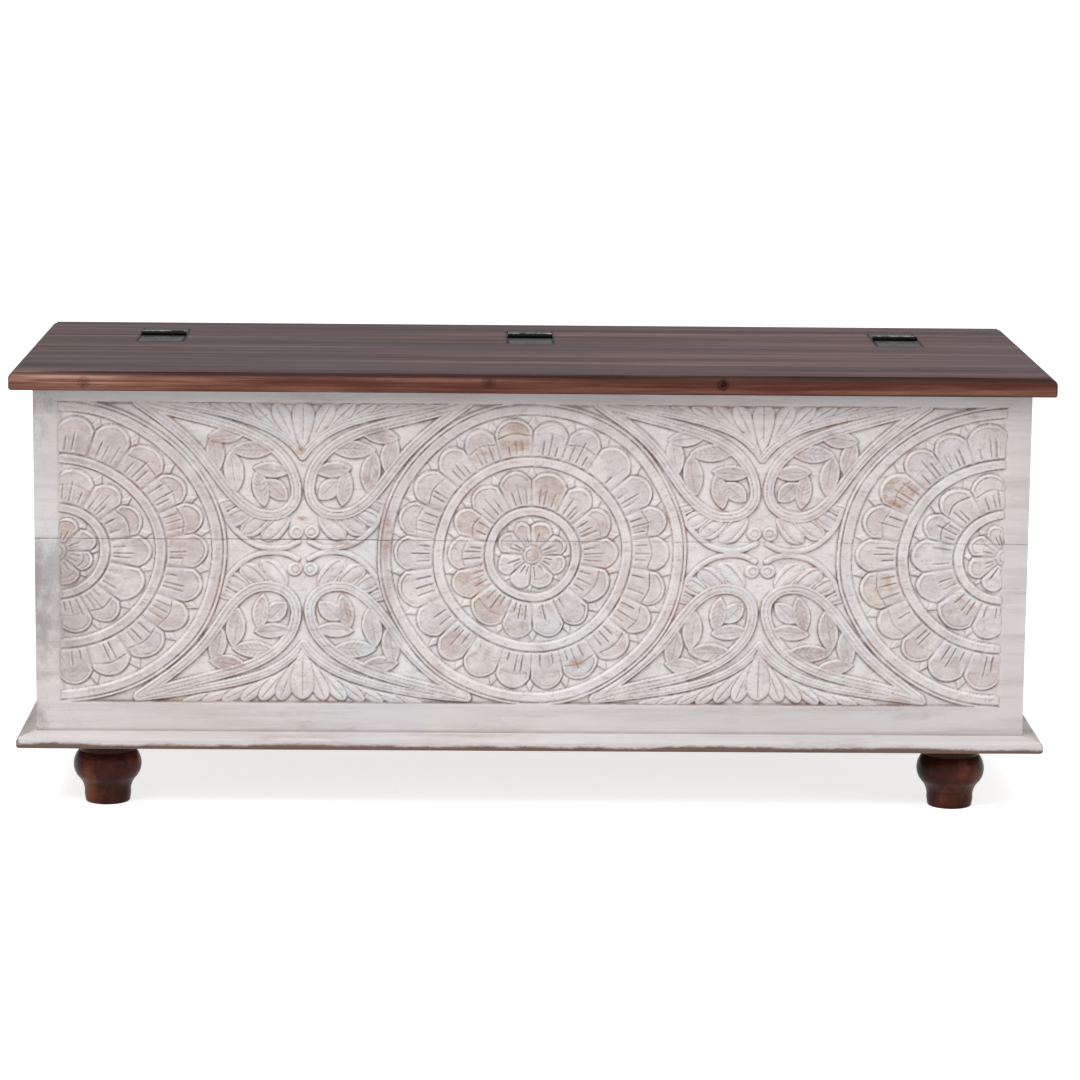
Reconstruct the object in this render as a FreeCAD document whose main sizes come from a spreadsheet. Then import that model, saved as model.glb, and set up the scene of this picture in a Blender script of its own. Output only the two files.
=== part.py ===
import FreeCAD, Part
import math
import os
import re

import Sketcher

# A low wooden chest with a carved whitewashed front, a dark hinged lid and four turned feet.
# X runs along the front, Y from front to back and Z up; the origin is on the floor, under the
# middle of the top.

# Driving sizes in millimetres. Every one can be set by itself.
SIZES = {
    # the whole chest and its top
    "chest_height": 473,
    "top_length": 1100,
    "top_depth": 450,
    "top_thickness": 20,
    "top_bead_step": 1.5,
    "top_bead_inset": 7,
    "top_nose_round": 6,
    "top_lip_round": 2.5,
    "top_corner_round": 3,
    "rail_depth": 124,
    "seam_gap": 2,
    # the box: front and back run the whole length, the sides stand between them; the widths
    # of the front's four boards share its height between them
    "body_length": 1054,
    "body_depth": 400,
    "front_thickness": 22,
    "wall_thickness": 18,
    "bottom_board_width": 113,
    "lower_board_width": 95,
    "upper_board_width": 103,
    "top_board_width": 58,
    "floor_thickness": 12,
    "floor_clearance": 0.5,
    "post_width": 28,
    # the carved field of the front
    "field_side_margin": 23,
    "field_bottom_margin": 31,
    "field_top_margin": 13,
    "field_depth": 4,
    # the carving on it: three medallions, and two groups of leafy loops between them
    "medallion_radius": 164.8,
    "half_medallion_inset": 8,
    "loop_offset": 243,
    "loop_rise": 3,
    "loop_reach": 160,
    "loop_band_width": 11.2,
    "outer_band_width": 9.2,
    "edge_band_width": 5.6,
    "carving_lean": 1,
    "carving_root": 1,
    "ring_drop": 0.4,
    "band_drop": 0.7,
    "petal_drop": 0.6,
    "leaf_drop": 0.8,
    "petal_ground": 1.6,
    # the moulded board frame under the box
    "base_thickness": 16,
    "base_overhang": 20,
    "base_board_width": 95,
    "base_nose_height": 12,
    "base_nose_round": 4.5,
    "base_lip_round": 4,
    "bearer_width": 50,
    "bearer_inset": 329,
    # the turned feet
    "foot_height": 68,
    "foot_inset_x": 92,
    "foot_inset_y": 55,
    "foot_neck_radius": 30,
    "foot_neck_end": 57,
    "foot_belly_radius": 36.5,
    "foot_belly_height": 40,
    "foot_turn_radius": 31,
    "foot_turn_height": 22.5,
    "foot_hollow_radius": 22,
    "foot_ankle_radius": 24.5,
    "foot_ankle_height": 9,
    "foot_toe_radius": 23.5,
    "foot_toe_round": 1.5,
    # battens that stiffen the top
    "rail_batten_width": 25,
    "batten_thickness": 20,
    "lid_batten_width": 50,
    "lid_batten_inset": 250,
    "lid_batten_front_gap": 18,
    "lid_batten_back_gap": 24,
    # three butt hinges let into the top over the seam
    "hinge_inset": 138,
    "hinge_length": 49,
    "leaf_depth": 58,
    "leaf_thickness": 1.4,
    "barrel_radius": 3.2,
    "knuckle_gap": 0.3,
    "pin_radius": 1.75,
    "pin_clearance": 0.05,
    "pin_end": 0.8,
    "gain_gap": 0.5,
    # fasteners
    "hinge_screw_far": 46,
    "hinge_screw_near": 18,
    "hinge_screw_side": 15,
    "hinge_screw_radius": 1.6,
    "hinge_screw_head": 3.2,
    "hinge_screw_length": 15,
    "wood_screw_radius": 2,
    "wood_screw_head": 4,
    "wood_screw_head_height": 2.4,
    "wood_screw_bite": 13,
    "base_screw_bite": 24,
    "base_screw_end": 147,
    "side_screw_spacing": 120,
    "rail_screw_end": 74,
    "lid_screw_end": 20,
    "dowel_radius": 4,
    "dowel_in_face": 10,
    "dowel_in_end": 20,
    "dowel_bottom_gap": 66,
    "dowel_top_gap": 107,
    "foot_bolt_radius": 4,
    "foot_bolt_down": 35,
    "foot_bolt_up": 13,
    "fastener_clearance": 0.05,
    "overrun": 5,
}

KNUCKLES = 5
DOWELS = 3
LID_BOARDS = 3
RAIL_SCREWS = 4
# How far a petal's sides lean, in degrees.
PETAL_LEAN = 16
# Turns a form's own Z to the front, out of the carved field.
OUTWARD = FreeCAD.Rotation(FreeCAD.Vector(0, 0, 1), FreeCAD.Vector(0, -1, 0))
# Places that agree to this many decimals are the same place.
DIGITS = 6
SIDES = (("left", -1), ("right", 1))
ENDS = (("front", -1), ("back", 1))

# Places that several pieces share, as sums of the driving sizes.
BODY_BOTTOM = "(foot_height + base_thickness)"
BODY_TOP = "(chest_height - top_thickness)"
INNER_X = "(body_length / 2 - wall_thickness)"
FIELD_X = "(body_length / 2 - field_side_margin)"
FIELD_LOW = f"({BODY_BOTTOM} + field_bottom_margin)"
FIELD_HIGH = f"({BODY_TOP} - field_top_margin)"
FIELD_MIDDLE = f"(({FIELD_LOW} + {FIELD_HIGH}) / 2)"
FIELD_FACE = "(field_depth - body_depth / 2)"
FIELD_ROOT = f"({FIELD_FACE} + carving_root)"
LOOP_MIDDLE = f"({FIELD_MIDDLE} + loop_rise)"
INNER_FRONT = "(front_thickness - body_depth / 2)"
INNER_BACK = "(body_depth / 2 - wall_thickness)"
FLOOR_TOP = f"({BODY_BOTTOM} + floor_thickness)"
BATTEN_BOTTOM = f"({BODY_TOP} - batten_thickness)"
SEAM = "(top_depth / 2 - rail_depth - seam_gap / 2)"
GAIN_FLOOR = "(chest_height - leaf_thickness)"
HINGE_AXIS = "(chest_height - leaf_thickness + barrel_radius)"
BASE_HALF_X = "(body_length / 2 + base_overhang)"
BASE_HALF_Y = "(body_depth / 2 + base_overhang)"
HINGE_X = "(top_length / 2 - hinge_inset)"
LID_BATTEN_X = "(top_length / 2 - lid_batten_inset)"
FOOT_X = f"({BASE_HALF_X} - foot_inset_x)"
FOOT_Y = f"({BASE_HALF_Y} - foot_inset_y)"

doc = FreeCAD.newDocument("CarvedChest")
size_name = re.compile(r"\b(" + "|".join(SIZES) + r")\b")
sub_parts = []


def make_sheet():
    """Write the driving sizes to the sheet, one row each."""
    sheet = doc.addObject("Spreadsheet::Sheet", "Sizes")
    for row, (alias, number) in enumerate(SIZES.items(), start=1):
        sheet.set(f"A{row}", alias.replace("_", " "))
        sheet.set(f"B{row}", str(number))
        sheet.setAlias(f"B{row}", alias)
    doc.recompute()
    return sheet


sheet = make_sheet()


def bind(thing, target, text):
    """Bind a property to a sum of the sheet's sizes."""
    thing.setExpression(target, size_name.sub(r"Sizes.\1", str(text)))


def put(thing, x, y, z):
    """Bind the place of an object."""
    for axis, text in zip("xyz", (x, y, z)):
        bind(thing, f"Placement.Base.{axis}", text)


def keep(thing, label):
    """Name a finished sub-part and list it for writing."""
    thing.Label = label
    sub_parts.append(thing)
    return thing


def block(x, y, z, name="Block"):
    """A rectangular piece between two places on each axis."""
    piece = doc.addObject("Part::Box", name)
    for side, (low, high) in zip(("Length", "Width", "Height"), (x, y, z)):
        bind(piece, side, f"({high}) - ({low})")
    put(piece, x[0], y[0], z[0])
    return piece


def rod(radius, length, x, y, z, along="z", name="Rod"):
    """A round bar that starts at a place and runs along one axis."""
    piece = doc.addObject("Part::Cylinder", name)
    bind(piece, "Radius", radius)
    bind(piece, "Height", length)
    direction = {"x": (1, 0, 0), "y": (0, 1, 0), "z": (0, 0, 1)}[along]
    turn = FreeCAD.Rotation(FreeCAD.Vector(0, 0, 1), FreeCAD.Vector(*direction))
    piece.Placement = FreeCAD.Placement(FreeCAD.Vector(), turn)
    put(piece, x, y, z)
    return piece


def fuse(pieces, name="Joined"):
    """Join overlapping pieces to one."""
    joined = doc.addObject("Part::MultiFuse", name)
    joined.Shapes = pieces
    return joined


def group(pieces, name="Group"):
    """Hold separate pieces as one object."""
    held = doc.addObject("Part::Compound", name)
    held.Links = pieces
    return held


def cut(base, tools, name="Cut"):
    """Take tools that lie clear of each other away from a piece."""
    worked = doc.addObject("Part::Cut", name)
    worked.Base = base
    worked.Tool = tools[0] if len(tools) == 1 else group(tools)
    return worked


def common(base, tool, name="Common"):
    """The part of a blank that lies inside a tool."""
    sawn = doc.addObject("Part::Common", name)
    sawn.Base = base
    sawn.Tool = tool
    return sawn


def origin_plane(body, role):
    """One of a body's own planes."""
    return next(plane for plane in body.Origin.OriginFeatures if plane.Role == role)


def new_sketch(body, role, name):
    """An empty sketch on one of a body's own planes."""
    sketch = body.newObject("Sketcher::SketchObject", name)
    sketch.AttachmentSupport = [(origin_plane(body, role), "")]
    sketch.MapMode = "FlatFace"
    return sketch


def hold_point(sketch, line, end, x, y):
    """Hold a point of a sketch at a bound distance from the sketch's origin."""
    for kind, text in (("DistanceX", x), ("DistanceY", y)):
        if text == 0:
            axis = -2 if kind == "DistanceX" else -1
            sketch.addConstraint(Sketcher.Constraint("PointOnObject", line, end, axis))
            continue
        number = sketch.getPoint(line, end).x if kind == "DistanceX" else sketch.getPoint(line, end).y
        row = sketch.addConstraint(Sketcher.Constraint(kind, -1, 1, line, end, number))
        bind(sketch, f"Constraints[{row}]", text)


def polygon(sketch, corners, shares):
    """Draw a closed outline; shares place its first guess, the bound corners then set it."""
    count = len(corners)
    points = [FreeCAD.Vector(x, y, 0) for x, y in shares]
    first = sketch.GeometryCount
    for number in range(count):
        sketch.addGeometry(Part.LineSegment(points[number], points[(number + 1) % count]), False)
    for number in range(count):
        following = first + (number + 1) % count
        sketch.addConstraint(Sketcher.Constraint("Coincident", first + number, 2, following, 1))
    for number, (x, y) in enumerate(corners):
        hold_point(sketch, first + number, 1, x, y)


def rectangle(sketch, half_x, half_y):
    """Draw a rectangle about the sketch's origin."""
    corner_shares = ((-1, -1), (1, -1), (1, 1), (-1, 1))
    corners = [(f"{x} * ({half_x})", f"{y} * ({half_y})") for x, y in corner_shares]
    polygon(sketch, corners, corner_shares)


def pad(body, sketch, length, name, symmetric=False):
    """Give a sketch a bound thickness."""
    feature = body.newObject("PartDesign::Pad", name)
    feature.Profile = sketch
    bind(feature, "Length", length)
    if symmetric:
        feature.SideType = "Symmetric"
    body.Tip = feature
    doc.recompute()
    return feature


def round_edges(body, base, wanted, radius, name):
    """Round the edges of a feature for which wanted(edge) is true."""
    names = [f"Edge{number}" for number, edge in enumerate(base.Shape.Edges, 1) if wanted(edge)]
    feature = body.newObject("PartDesign::Fillet", name)
    feature.Base = (base, names)
    bind(feature, "Radius", radius)
    body.Tip = feature
    doc.recompute()
    return feature


def slope_edges(body, base, wanted, width, name):
    """Take off the edges of a feature for which wanted(edge) is true, at 45 degrees."""
    names = [f"Edge{number}" for number, edge in enumerate(base.Shape.Edges, 1) if wanted(edge)]
    feature = body.newObject("PartDesign::Chamfer", name)
    feature.Base = (base, names)
    bind(feature, "Size", width)
    body.Tip = feature
    doc.recompute()
    return feature


def size(alias):
    """A driving size as a number."""
    return float(sheet.get(alias))


def number_of(text):
    """The value of a sum of sizes and of sizes times shares, for a sketch's first guess."""
    total = 0
    for sign, share, name in re.findall(r"(-?) ?(?:([0-9.]+) \* )?([a-z_]+)", str(text)):
        total += (-1 if sign else 1) * float(share or 1) * size(name)
    return total


def cross(one, other):
    """Whether two pieces share some height."""
    mine, theirs = one.Shape.BoundBox, other.Shape.BoundBox
    shared = min(mine.ZMax, theirs.ZMax) - max(mine.ZMin, theirs.ZMin)
    return round(shared, DIGITS) > 0


def is_level(edge, height):
    """Whether an edge lies flat at a height of its body."""
    box = edge.BoundBox
    return round(box.ZMin - height, DIGITS) == 0 and round(box.ZMax - height, DIGITS) == 0


def top_blank():
    """The whole top before it is sawn: a slab with a rounded nose and a raised flat field."""
    body = doc.addObject("PartDesign::Body", "TopBlank")
    slab = new_sketch(body, "XY_Plane", "TopOutline")
    rectangle(slab, "top_length / 2", "top_depth / 2")
    feature = pad(body, slab, "top_thickness - top_bead_step", "TopSlab")
    step = size("top_thickness") - size("top_bead_step")
    upright = lambda edge: edge.BoundBox.ZLength > step / 2
    feature = round_edges(body, feature, upright, "top_corner_round", "TopCorners")
    feature = round_edges(body, feature, lambda edge: is_level(edge, step), "top_nose_round", "TopNose")
    feature = round_edges(body, feature, lambda edge: is_level(edge, 0), "top_lip_round", "TopLip")
    field = new_sketch(body, "XY_Plane", "TopField")
    rectangle(field, "top_length / 2 - top_bead_inset", "top_depth / 2 - top_bead_inset")
    pad(body, field, "top_thickness", "TopFlat")
    put(body, 0, 0, BODY_TOP)
    return body


def hinge_places():
    """Name and X of each hinge."""
    return (("left", f"-{HINGE_X}"), ("middle", "0"), ("right", HINGE_X))


def hinge_screw_places(middle, side):
    """X and Y of a leaf's three screws; side is -1 on the lid and 1 on the rail."""
    return ((middle, f"{SEAM} + {side} * hinge_screw_far"),
            (f"{middle} - hinge_screw_side", f"{SEAM} + {side} * hinge_screw_near"),
            (f"{middle} + hinge_screw_side", f"{SEAM} + {side} * hinge_screw_near"))


def gains(side):
    """Recesses for the leaves and barrels in the board on one side of the seam, with pilot holes."""
    tools = []
    for _, middle in hinge_places():
        half = "(hinge_length / 2 + gain_gap)"
        reach = {-1: (f"{SEAM} - leaf_depth - gain_gap", f"{SEAM} + overrun"),
                 1: (f"{SEAM} - overrun", f"{SEAM} + leaf_depth + gain_gap")}[side]
        x = (f"{middle} - {half}", f"{middle} + {half}")
        high = "chest_height + overrun"
        leaf = block(x, reach, (GAIN_FLOOR, high), "LeafGain")
        groove = (f"{SEAM} - barrel_radius - gain_gap", f"{SEAM} + barrel_radius + gain_gap")
        low = f"{GAIN_FLOOR} - gain_gap"
        barrel_x = (f"{middle} - {half} - pin_end", f"{middle} + {half} + pin_end")
        barrel = block(barrel_x, groove, (low, high), "BarrelGain")
        holes = [rod("hinge_screw_radius + fastener_clearance",
                     "hinge_screw_length + fastener_clearance + overrun", x, y,
                     "chest_height - hinge_screw_length - fastener_clearance", name="Pilot")
                 for x, y in hinge_screw_places(middle, side)]
        tools.append(fuse([leaf, barrel] + holes, "HingeGain"))
    return tools


def board_of(blank, y, tools, label):
    """Saw one board out of the top blank and cut its recesses and pilot holes."""
    ends = ("-top_length / 2 - overrun", "top_length / 2 + overrun")
    saw = block(ends, y, (f"{BODY_TOP} - overrun", "chest_height + overrun"), "Saw")
    board = common(blank, saw, "Board")
    return keep(cut(board, tools, "WorkedBoard"), label)


def pilot(x, y, z, bite, name="Pilot"):
    """A hole for a wood screw that goes up from z."""
    return rod("wood_screw_radius + fastener_clearance", f"{bite} + fastener_clearance", x, y, z, name=name)


def wood_screw(x, y, z, length, grow="0", name="WoodScrew"):
    """A countersunk screw driven upwards, its head's flat at z."""
    head = doc.addObject("Part::Cone", f"{name}Head")
    bind(head, "Radius1", f"wood_screw_head + {grow}")
    bind(head, "Radius2", f"wood_screw_radius + {grow}")
    bind(head, "Height", "wood_screw_head_height")
    put(head, x, y, z)
    shank = rod(f"wood_screw_radius + {grow}", f"{length} + {grow}", x, y, z, name=f"{name}Shank")
    return fuse([head, shank], name)


def lid_board_edges():
    """Y of the lid boards, front to back."""
    front = "(-top_depth / 2)"
    back = f"({SEAM} - seam_gap / 2)"
    width = f"(({back} - {front}) / {LID_BOARDS})"
    return [(f"{front} + {n} * {width}", f"{front} + {n + 1} * {width}") for n in range(LID_BOARDS)]


def lid_screw_places():
    """X and Y of the screws that hold the lid battens, one in each lid board."""
    front, back = lid_batten_ends()
    y_places = (f"{front} + lid_screw_end", f"({front} + {back}) / 2", f"{back} - lid_screw_end")
    return [(f"{side} * {LID_BATTEN_X}", y) for _, side in SIDES for y in y_places]


def lid_batten_ends():
    """Y of the lid battens' front and back ends."""
    return f"({INNER_FRONT} + lid_batten_front_gap)", f"({SEAM} - seam_gap / 2 - lid_batten_back_gap)"


def rail_screw_places():
    """X and Y of the screws from the rail batten up into the rear rail."""
    y = f"{INNER_BACK} - rail_batten_width / 2"
    last = RAIL_SCREWS - 1
    return [(f"({2 * n - last} / {last}) * ({INNER_X} - rail_screw_end)", y) for n in range(RAIL_SCREWS)]


def make_top():
    """The rear rail, fixed to the box, and the three glued boards of the lid."""
    blank = top_blank()
    rail_pilots = [pilot(x, y, BODY_TOP, "wood_screw_bite") for x, y in rail_screw_places()]
    rail_y = (f"{SEAM} + seam_gap / 2", "top_depth / 2 + overrun")
    board_of(blank, rail_y, gains(1) + rail_pilots, "rear_rail")
    lid_screws = lid_screw_places()
    front, middle, back = lid_board_edges()
    front = (f"{front[0]} - overrun", front[1])
    for number, (edges, label) in enumerate(((front, "lid_board_front"), (middle, "lid_board_middle"),
                                             (back, "lid_board_back"))):
        tools = [pilot(x, y, BODY_TOP, "wood_screw_bite") for x, y in lid_screws[number::LID_BOARDS]]
        if label == "lid_board_back":
            tools += gains(-1)
        board_of(blank, edges, tools, label)


def make_battens():
    """The battens under the lid and the rear rail, with their screws."""
    length = "batten_thickness + wood_screw_bite"
    ends = lid_batten_ends()
    height = (BATTEN_BOTTOM, BODY_TOP)
    for number, (name, side) in enumerate(SIDES):
        middle = f"{side} * {LID_BATTEN_X}"
        x = (f"{middle} - lid_batten_width / 2", f"{middle} + lid_batten_width / 2")
        own = lid_screw_places()[LID_BOARDS * number:LID_BOARDS * (number + 1)]
        holes = [wood_screw(sx, sy, BATTEN_BOTTOM, length, "fastener_clearance", "BattenHole")
                 for sx, sy in own]
        keep(cut(block(x, ends, height), holes, "LidBatten"), f"lid_batten_{name}")
    screws = [wood_screw(x, y, BATTEN_BOTTOM, length) for x, y in lid_screw_places()]
    keep(group(screws), "lid_batten_screws")

    y = (f"{INNER_BACK} - rail_batten_width", INNER_BACK)
    holes = [wood_screw(sx, sy, BATTEN_BOTTOM, length, "fastener_clearance", "BattenHole")
             for sx, sy in rail_screw_places()]
    strip = block((f"-{INNER_X}", INNER_X), y, height)
    keep(cut(strip, holes, "RailBatten"), "rail_batten")
    screws = [wood_screw(x, y, BATTEN_BOTTOM, length) for x, y in rail_screw_places()]
    keep(group(screws), "rail_screws")


def knuckle_starts():
    """Share of the hinge's length at which each knuckle starts."""
    return [number / KNUCKLES for number in range(KNUCKLES)]


def make_leaf(name, middle, side, label):
    """One leaf of a butt hinge: a plate, its rolled knuckles round the pin and three screw holes."""
    start = f"{middle} - hinge_length / 2"
    root = "(barrel_radius + knuckle_gap)"
    tips = {-1: (f"{SEAM} - leaf_depth", f"{SEAM} - {root}"),
            1: (f"{SEAM} + {root}", f"{SEAM} + leaf_depth")}[side]
    plate = block((start, f"{start} + hinge_length"), tips, (GAIN_FLOOR, "chest_height"), "LeafPlate")
    pieces = [plate]
    bores = []
    own = knuckle_starts()[0::2] if side == 1 else knuckle_starts()[1::2]
    for share in own:
        low = f"{start} + {share} * hinge_length + knuckle_gap / 2"
        length = f"(hinge_length / {KNUCKLES} - knuckle_gap)"
        tongue_y = {-1: (f"{SEAM} - leaf_depth / 2", SEAM), 1: (SEAM, f"{SEAM} + leaf_depth / 2")}[side]
        tongue = block((low, f"{low} + {length}"), tongue_y, (GAIN_FLOOR, "chest_height"), "Tongue")
        pieces += [tongue, rod("barrel_radius", length, low, SEAM, HINGE_AXIS, "x", "Knuckle")]
    bores.append(rod("pin_radius + pin_clearance", "hinge_length + 2 * overrun", f"{start} - overrun",
                     SEAM, HINGE_AXIS, "x", "PinBore"))
    for x, y in hinge_screw_places(middle, side):
        bores.append(hinge_screw(x, y, "fastener_clearance", "overrun"))
    keep(cut(fuse(pieces, "Leaf"), bores, "BoredLeaf"), label)


def hinge_screw(x, y, grow="0", above="0"):
    """A countersunk hinge screw, flush with the leaf; above runs its hole clear of the leaf."""
    head = doc.addObject("Part::Cone", "HingeScrewHead")
    bind(head, "Radius1", f"hinge_screw_radius + {grow}")
    bind(head, "Radius2", f"hinge_screw_head + {grow}")
    bind(head, "Height", "leaf_thickness")
    put(head, x, y, GAIN_FLOOR)
    low = f"chest_height - hinge_screw_length - {grow}"
    shank = rod(f"hinge_screw_radius + {grow}", f"hinge_screw_length + {grow} + {above}", x, y, low,
                name="HingeScrewShank")
    return fuse([head, shank], "HingeScrew")


def make_hinges():
    """Three butt hinges over the seam: a leaf on the rail, a leaf on the lid, a pin, and screws."""
    for name, middle in hinge_places():
        make_leaf(name, middle, 1, f"hinge_{name}_rail_leaf")
        make_leaf(name, middle, -1, f"hinge_{name}_lid_leaf")
        pin = rod("pin_radius", "hinge_length + 2 * pin_end",
                  f"{middle} - hinge_length / 2 - pin_end", SEAM, HINGE_AXIS, "x", "Pin")
        keep(pin, f"hinge_{name}_pin")
    for side, label in ((1, "hinge_rail_screws"), (-1, "hinge_lid_screws")):
        places = [place for _, middle in hinge_places() for place in hinge_screw_places(middle, side)]
        keep(group([hinge_screw(x, y) for x, y in places]), label)


def dowels(grow="0"):
    """Dowels across the four upright joints; grow widens and lengthens them to holes."""
    pegs = {}
    spread = f"({BODY_TOP} - {BODY_BOTTOM} - dowel_bottom_gap - dowel_top_gap)"
    for end_name, end in ENDS:
        face = {-1: INNER_FRONT, 1: INNER_BACK}[end]
        low = {-1: f"{face} - dowel_in_face - {grow}", 1: f"{face} - dowel_in_end - {grow}"}[end]
        for side_name, side in SIDES:
            x = f"{side} * (body_length / 2 - wall_thickness / 2)"
            for number in range(DOWELS):
                z = f"{BODY_BOTTOM} + dowel_bottom_gap + {number} / {DOWELS - 1} * {spread}"
                length = f"dowel_in_face + dowel_in_end + 2 * {grow}"
                peg = rod(f"dowel_radius + {grow}", length, x, low, z, "y", "Dowel")
                pegs[(end_name, side_name, number)] = peg
    return pegs


def base_screw_places():
    """X and Y of the screws that come up through the base boards, listed by wall."""
    front_y = "front_thickness / 2 - body_depth / 2"
    back_y = "body_depth / 2 - wall_thickness / 2"
    side_x = "(body_length / 2 - wall_thickness / 2)"
    along = ("base_screw_end - body_length / 2", "0", "body_length / 2 - base_screw_end")
    across = ("-side_screw_spacing / 2", "side_screw_spacing / 2")
    return {"front": [(x, front_y) for x in along], "back": [(x, back_y) for x in along],
            "left": [(f"-{side_x}", y) for y in across], "right": [(side_x, y) for y in across]}


def wall_pilots(wall):
    """Holes in the foot of a wall for the screws from the base boards."""
    return [pilot(x, y, BODY_BOTTOM, "base_screw_bite") for x, y in base_screw_places()[wall]]


def carved_cone(radius, x, z, drop, name="RoundForm"):
    """A round form with leaning sides, standing on the sunk field; drop is its depth below the face."""
    form = doc.addObject("Part::Cone", name)
    height = f"(field_depth - {drop} + carving_root)"
    bind(form, "Radius1", f"{radius} + carving_lean * {height} / field_depth")
    bind(form, "Radius2", radius)
    bind(form, "Height", height)
    form.Placement = FreeCAD.Placement(FreeCAD.Vector(), OUTWARD)
    put(form, x, FIELD_ROOT, z)
    return form


def arc_chain(start_share, heading, arc_shares):
    """Joints and arcs of a line of arcs that run on smoothly, in shares of the loops' reach.
    An arc is its radius and the angle it turns by, to the left where that is above zero."""
    x, y = start_share
    way = math.radians(heading)
    joints = [(x, y, -math.sin(way), math.cos(way))]
    arcs = []
    for radius_share, turn in arc_shares:
        side = 1 if turn > 0 else -1
        centre = (x - side * radius_share * math.sin(way), y + side * radius_share * math.cos(way))
        way += math.radians(turn)
        x = centre[0] + side * radius_share * math.sin(way)
        y = centre[1] - side * radius_share * math.cos(way)
        joints.append((x, y, -math.sin(way), math.cos(way)))
        arcs.append((radius_share, side))
    return joints, arcs


def band(joints, arcs, width, drop, name):
    """A raised band of one width along joined arcs, about the first group's axis; its long top
    edges slope, its ends are square."""
    body = doc.addObject("PartDesign::Body", name)
    sketch = new_sketch(body, "XY_Plane", f"{name}Outline")
    reach, half = size("loop_reach"), size(width) / 2
    place = lambda joint, edge: FreeCAD.Vector(joint[0] * reach + edge * joint[2] * half,
                                               joint[1] * reach + edge * joint[3] * half, 0)
    rows = []
    for edge, order in ((1, range(len(arcs))), (-1, reversed(range(len(arcs))))):
        for number in order:
            first, last = joints[number], joints[number + 1]
            radius_share, side = arcs[number]
            radius = radius_share * reach - edge * side * half
            chord = place(last, edge) - place(first, edge)
            inward = FreeCAD.Vector(-chord.y, chord.x, 0).normalize() * side
            sag = radius - (radius * radius - (chord.Length / 2) ** 2) ** 0.5
            middle = (place(first, edge) + place(last, edge)) * 0.5 - inward * sag
            ends = (first, last) if edge == 1 else (last, first)
            rows.append((ends, edge, Part.Arc(place(ends[0], edge), middle, place(ends[1], edge)),
                         f"{radius_share} * loop_reach - {edge * side} * {width} / 2"))
        end = joints[-1] if edge == 1 else joints[0]
        rows.append(((end, end), edge, Part.LineSegment(place(end, edge), place(end, -edge)), None))
    for _, _, piece, _ in rows:
        sketch.addGeometry(piece, False)
    starts = join_ends(sketch, len(rows))
    for number, ((joint, _), edge, _, radius) in enumerate(rows):
        hold_point(sketch, number, starts[number],
                   f"{joint[0]} * loop_reach + {edge * joint[2]} * {width} / 2",
                   f"{joint[1]} * loop_reach + {edge * joint[3]} * {width} / 2")
        if radius:
            first_guess = sketch.Geometry[number].Radius
            row = sketch.addConstraint(Sketcher.Constraint("Radius", number, first_guess))
            bind(sketch, f"Constraints[{row}]", radius)
    feature = pad(body, sketch, f"field_depth - {drop} + carving_root", f"{name}Pad")
    height = feature.Shape.BoundBox.ZMax
    along = lambda edge: is_level(edge, height) and round(edge.Length - 2 * half, DIGITS) > 0
    slope_edges(body, feature, along, "carving_lean", f"{name}Slopes")
    body.Placement = FreeCAD.Placement(FreeCAD.Vector(), OUTWARD)
    put(body, "loop_offset", FIELD_ROOT, LOOP_MIDDLE)
    return body


def lens_leaf(base_share, tip_share, half_share, drop_share=1):
    """A pointed leaf where two round forms overlap, about the first group's axis."""
    (base_u, base_w), (tip_u, tip_w) = base_share, tip_share
    run, rise = tip_u - base_u, tip_w - base_w
    length = (run * run + rise * rise) ** 0.5
    radius_share = (length * length / 4 + half_share * half_share) / (2 * half_share)
    aside_share = (radius_share - half_share) / length
    drop = f"{drop_share} * leaf_drop"
    sides = []
    for side in (-1, 1):
        centre_share = ((base_u + tip_u) / 2 - side * rise * aside_share,
                        (base_w + tip_w) / 2 + side * run * aside_share)
        x = f"loop_offset + {centre_share[0]} * loop_reach"
        z = f"{LOOP_MIDDLE} + {centre_share[1]} * loop_reach"
        sides.append(carved_cone(f"{radius_share} * loop_reach", x, z, drop, "LeafSide"))
    return common(sides[0], sides[1], "Leaf")


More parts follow.
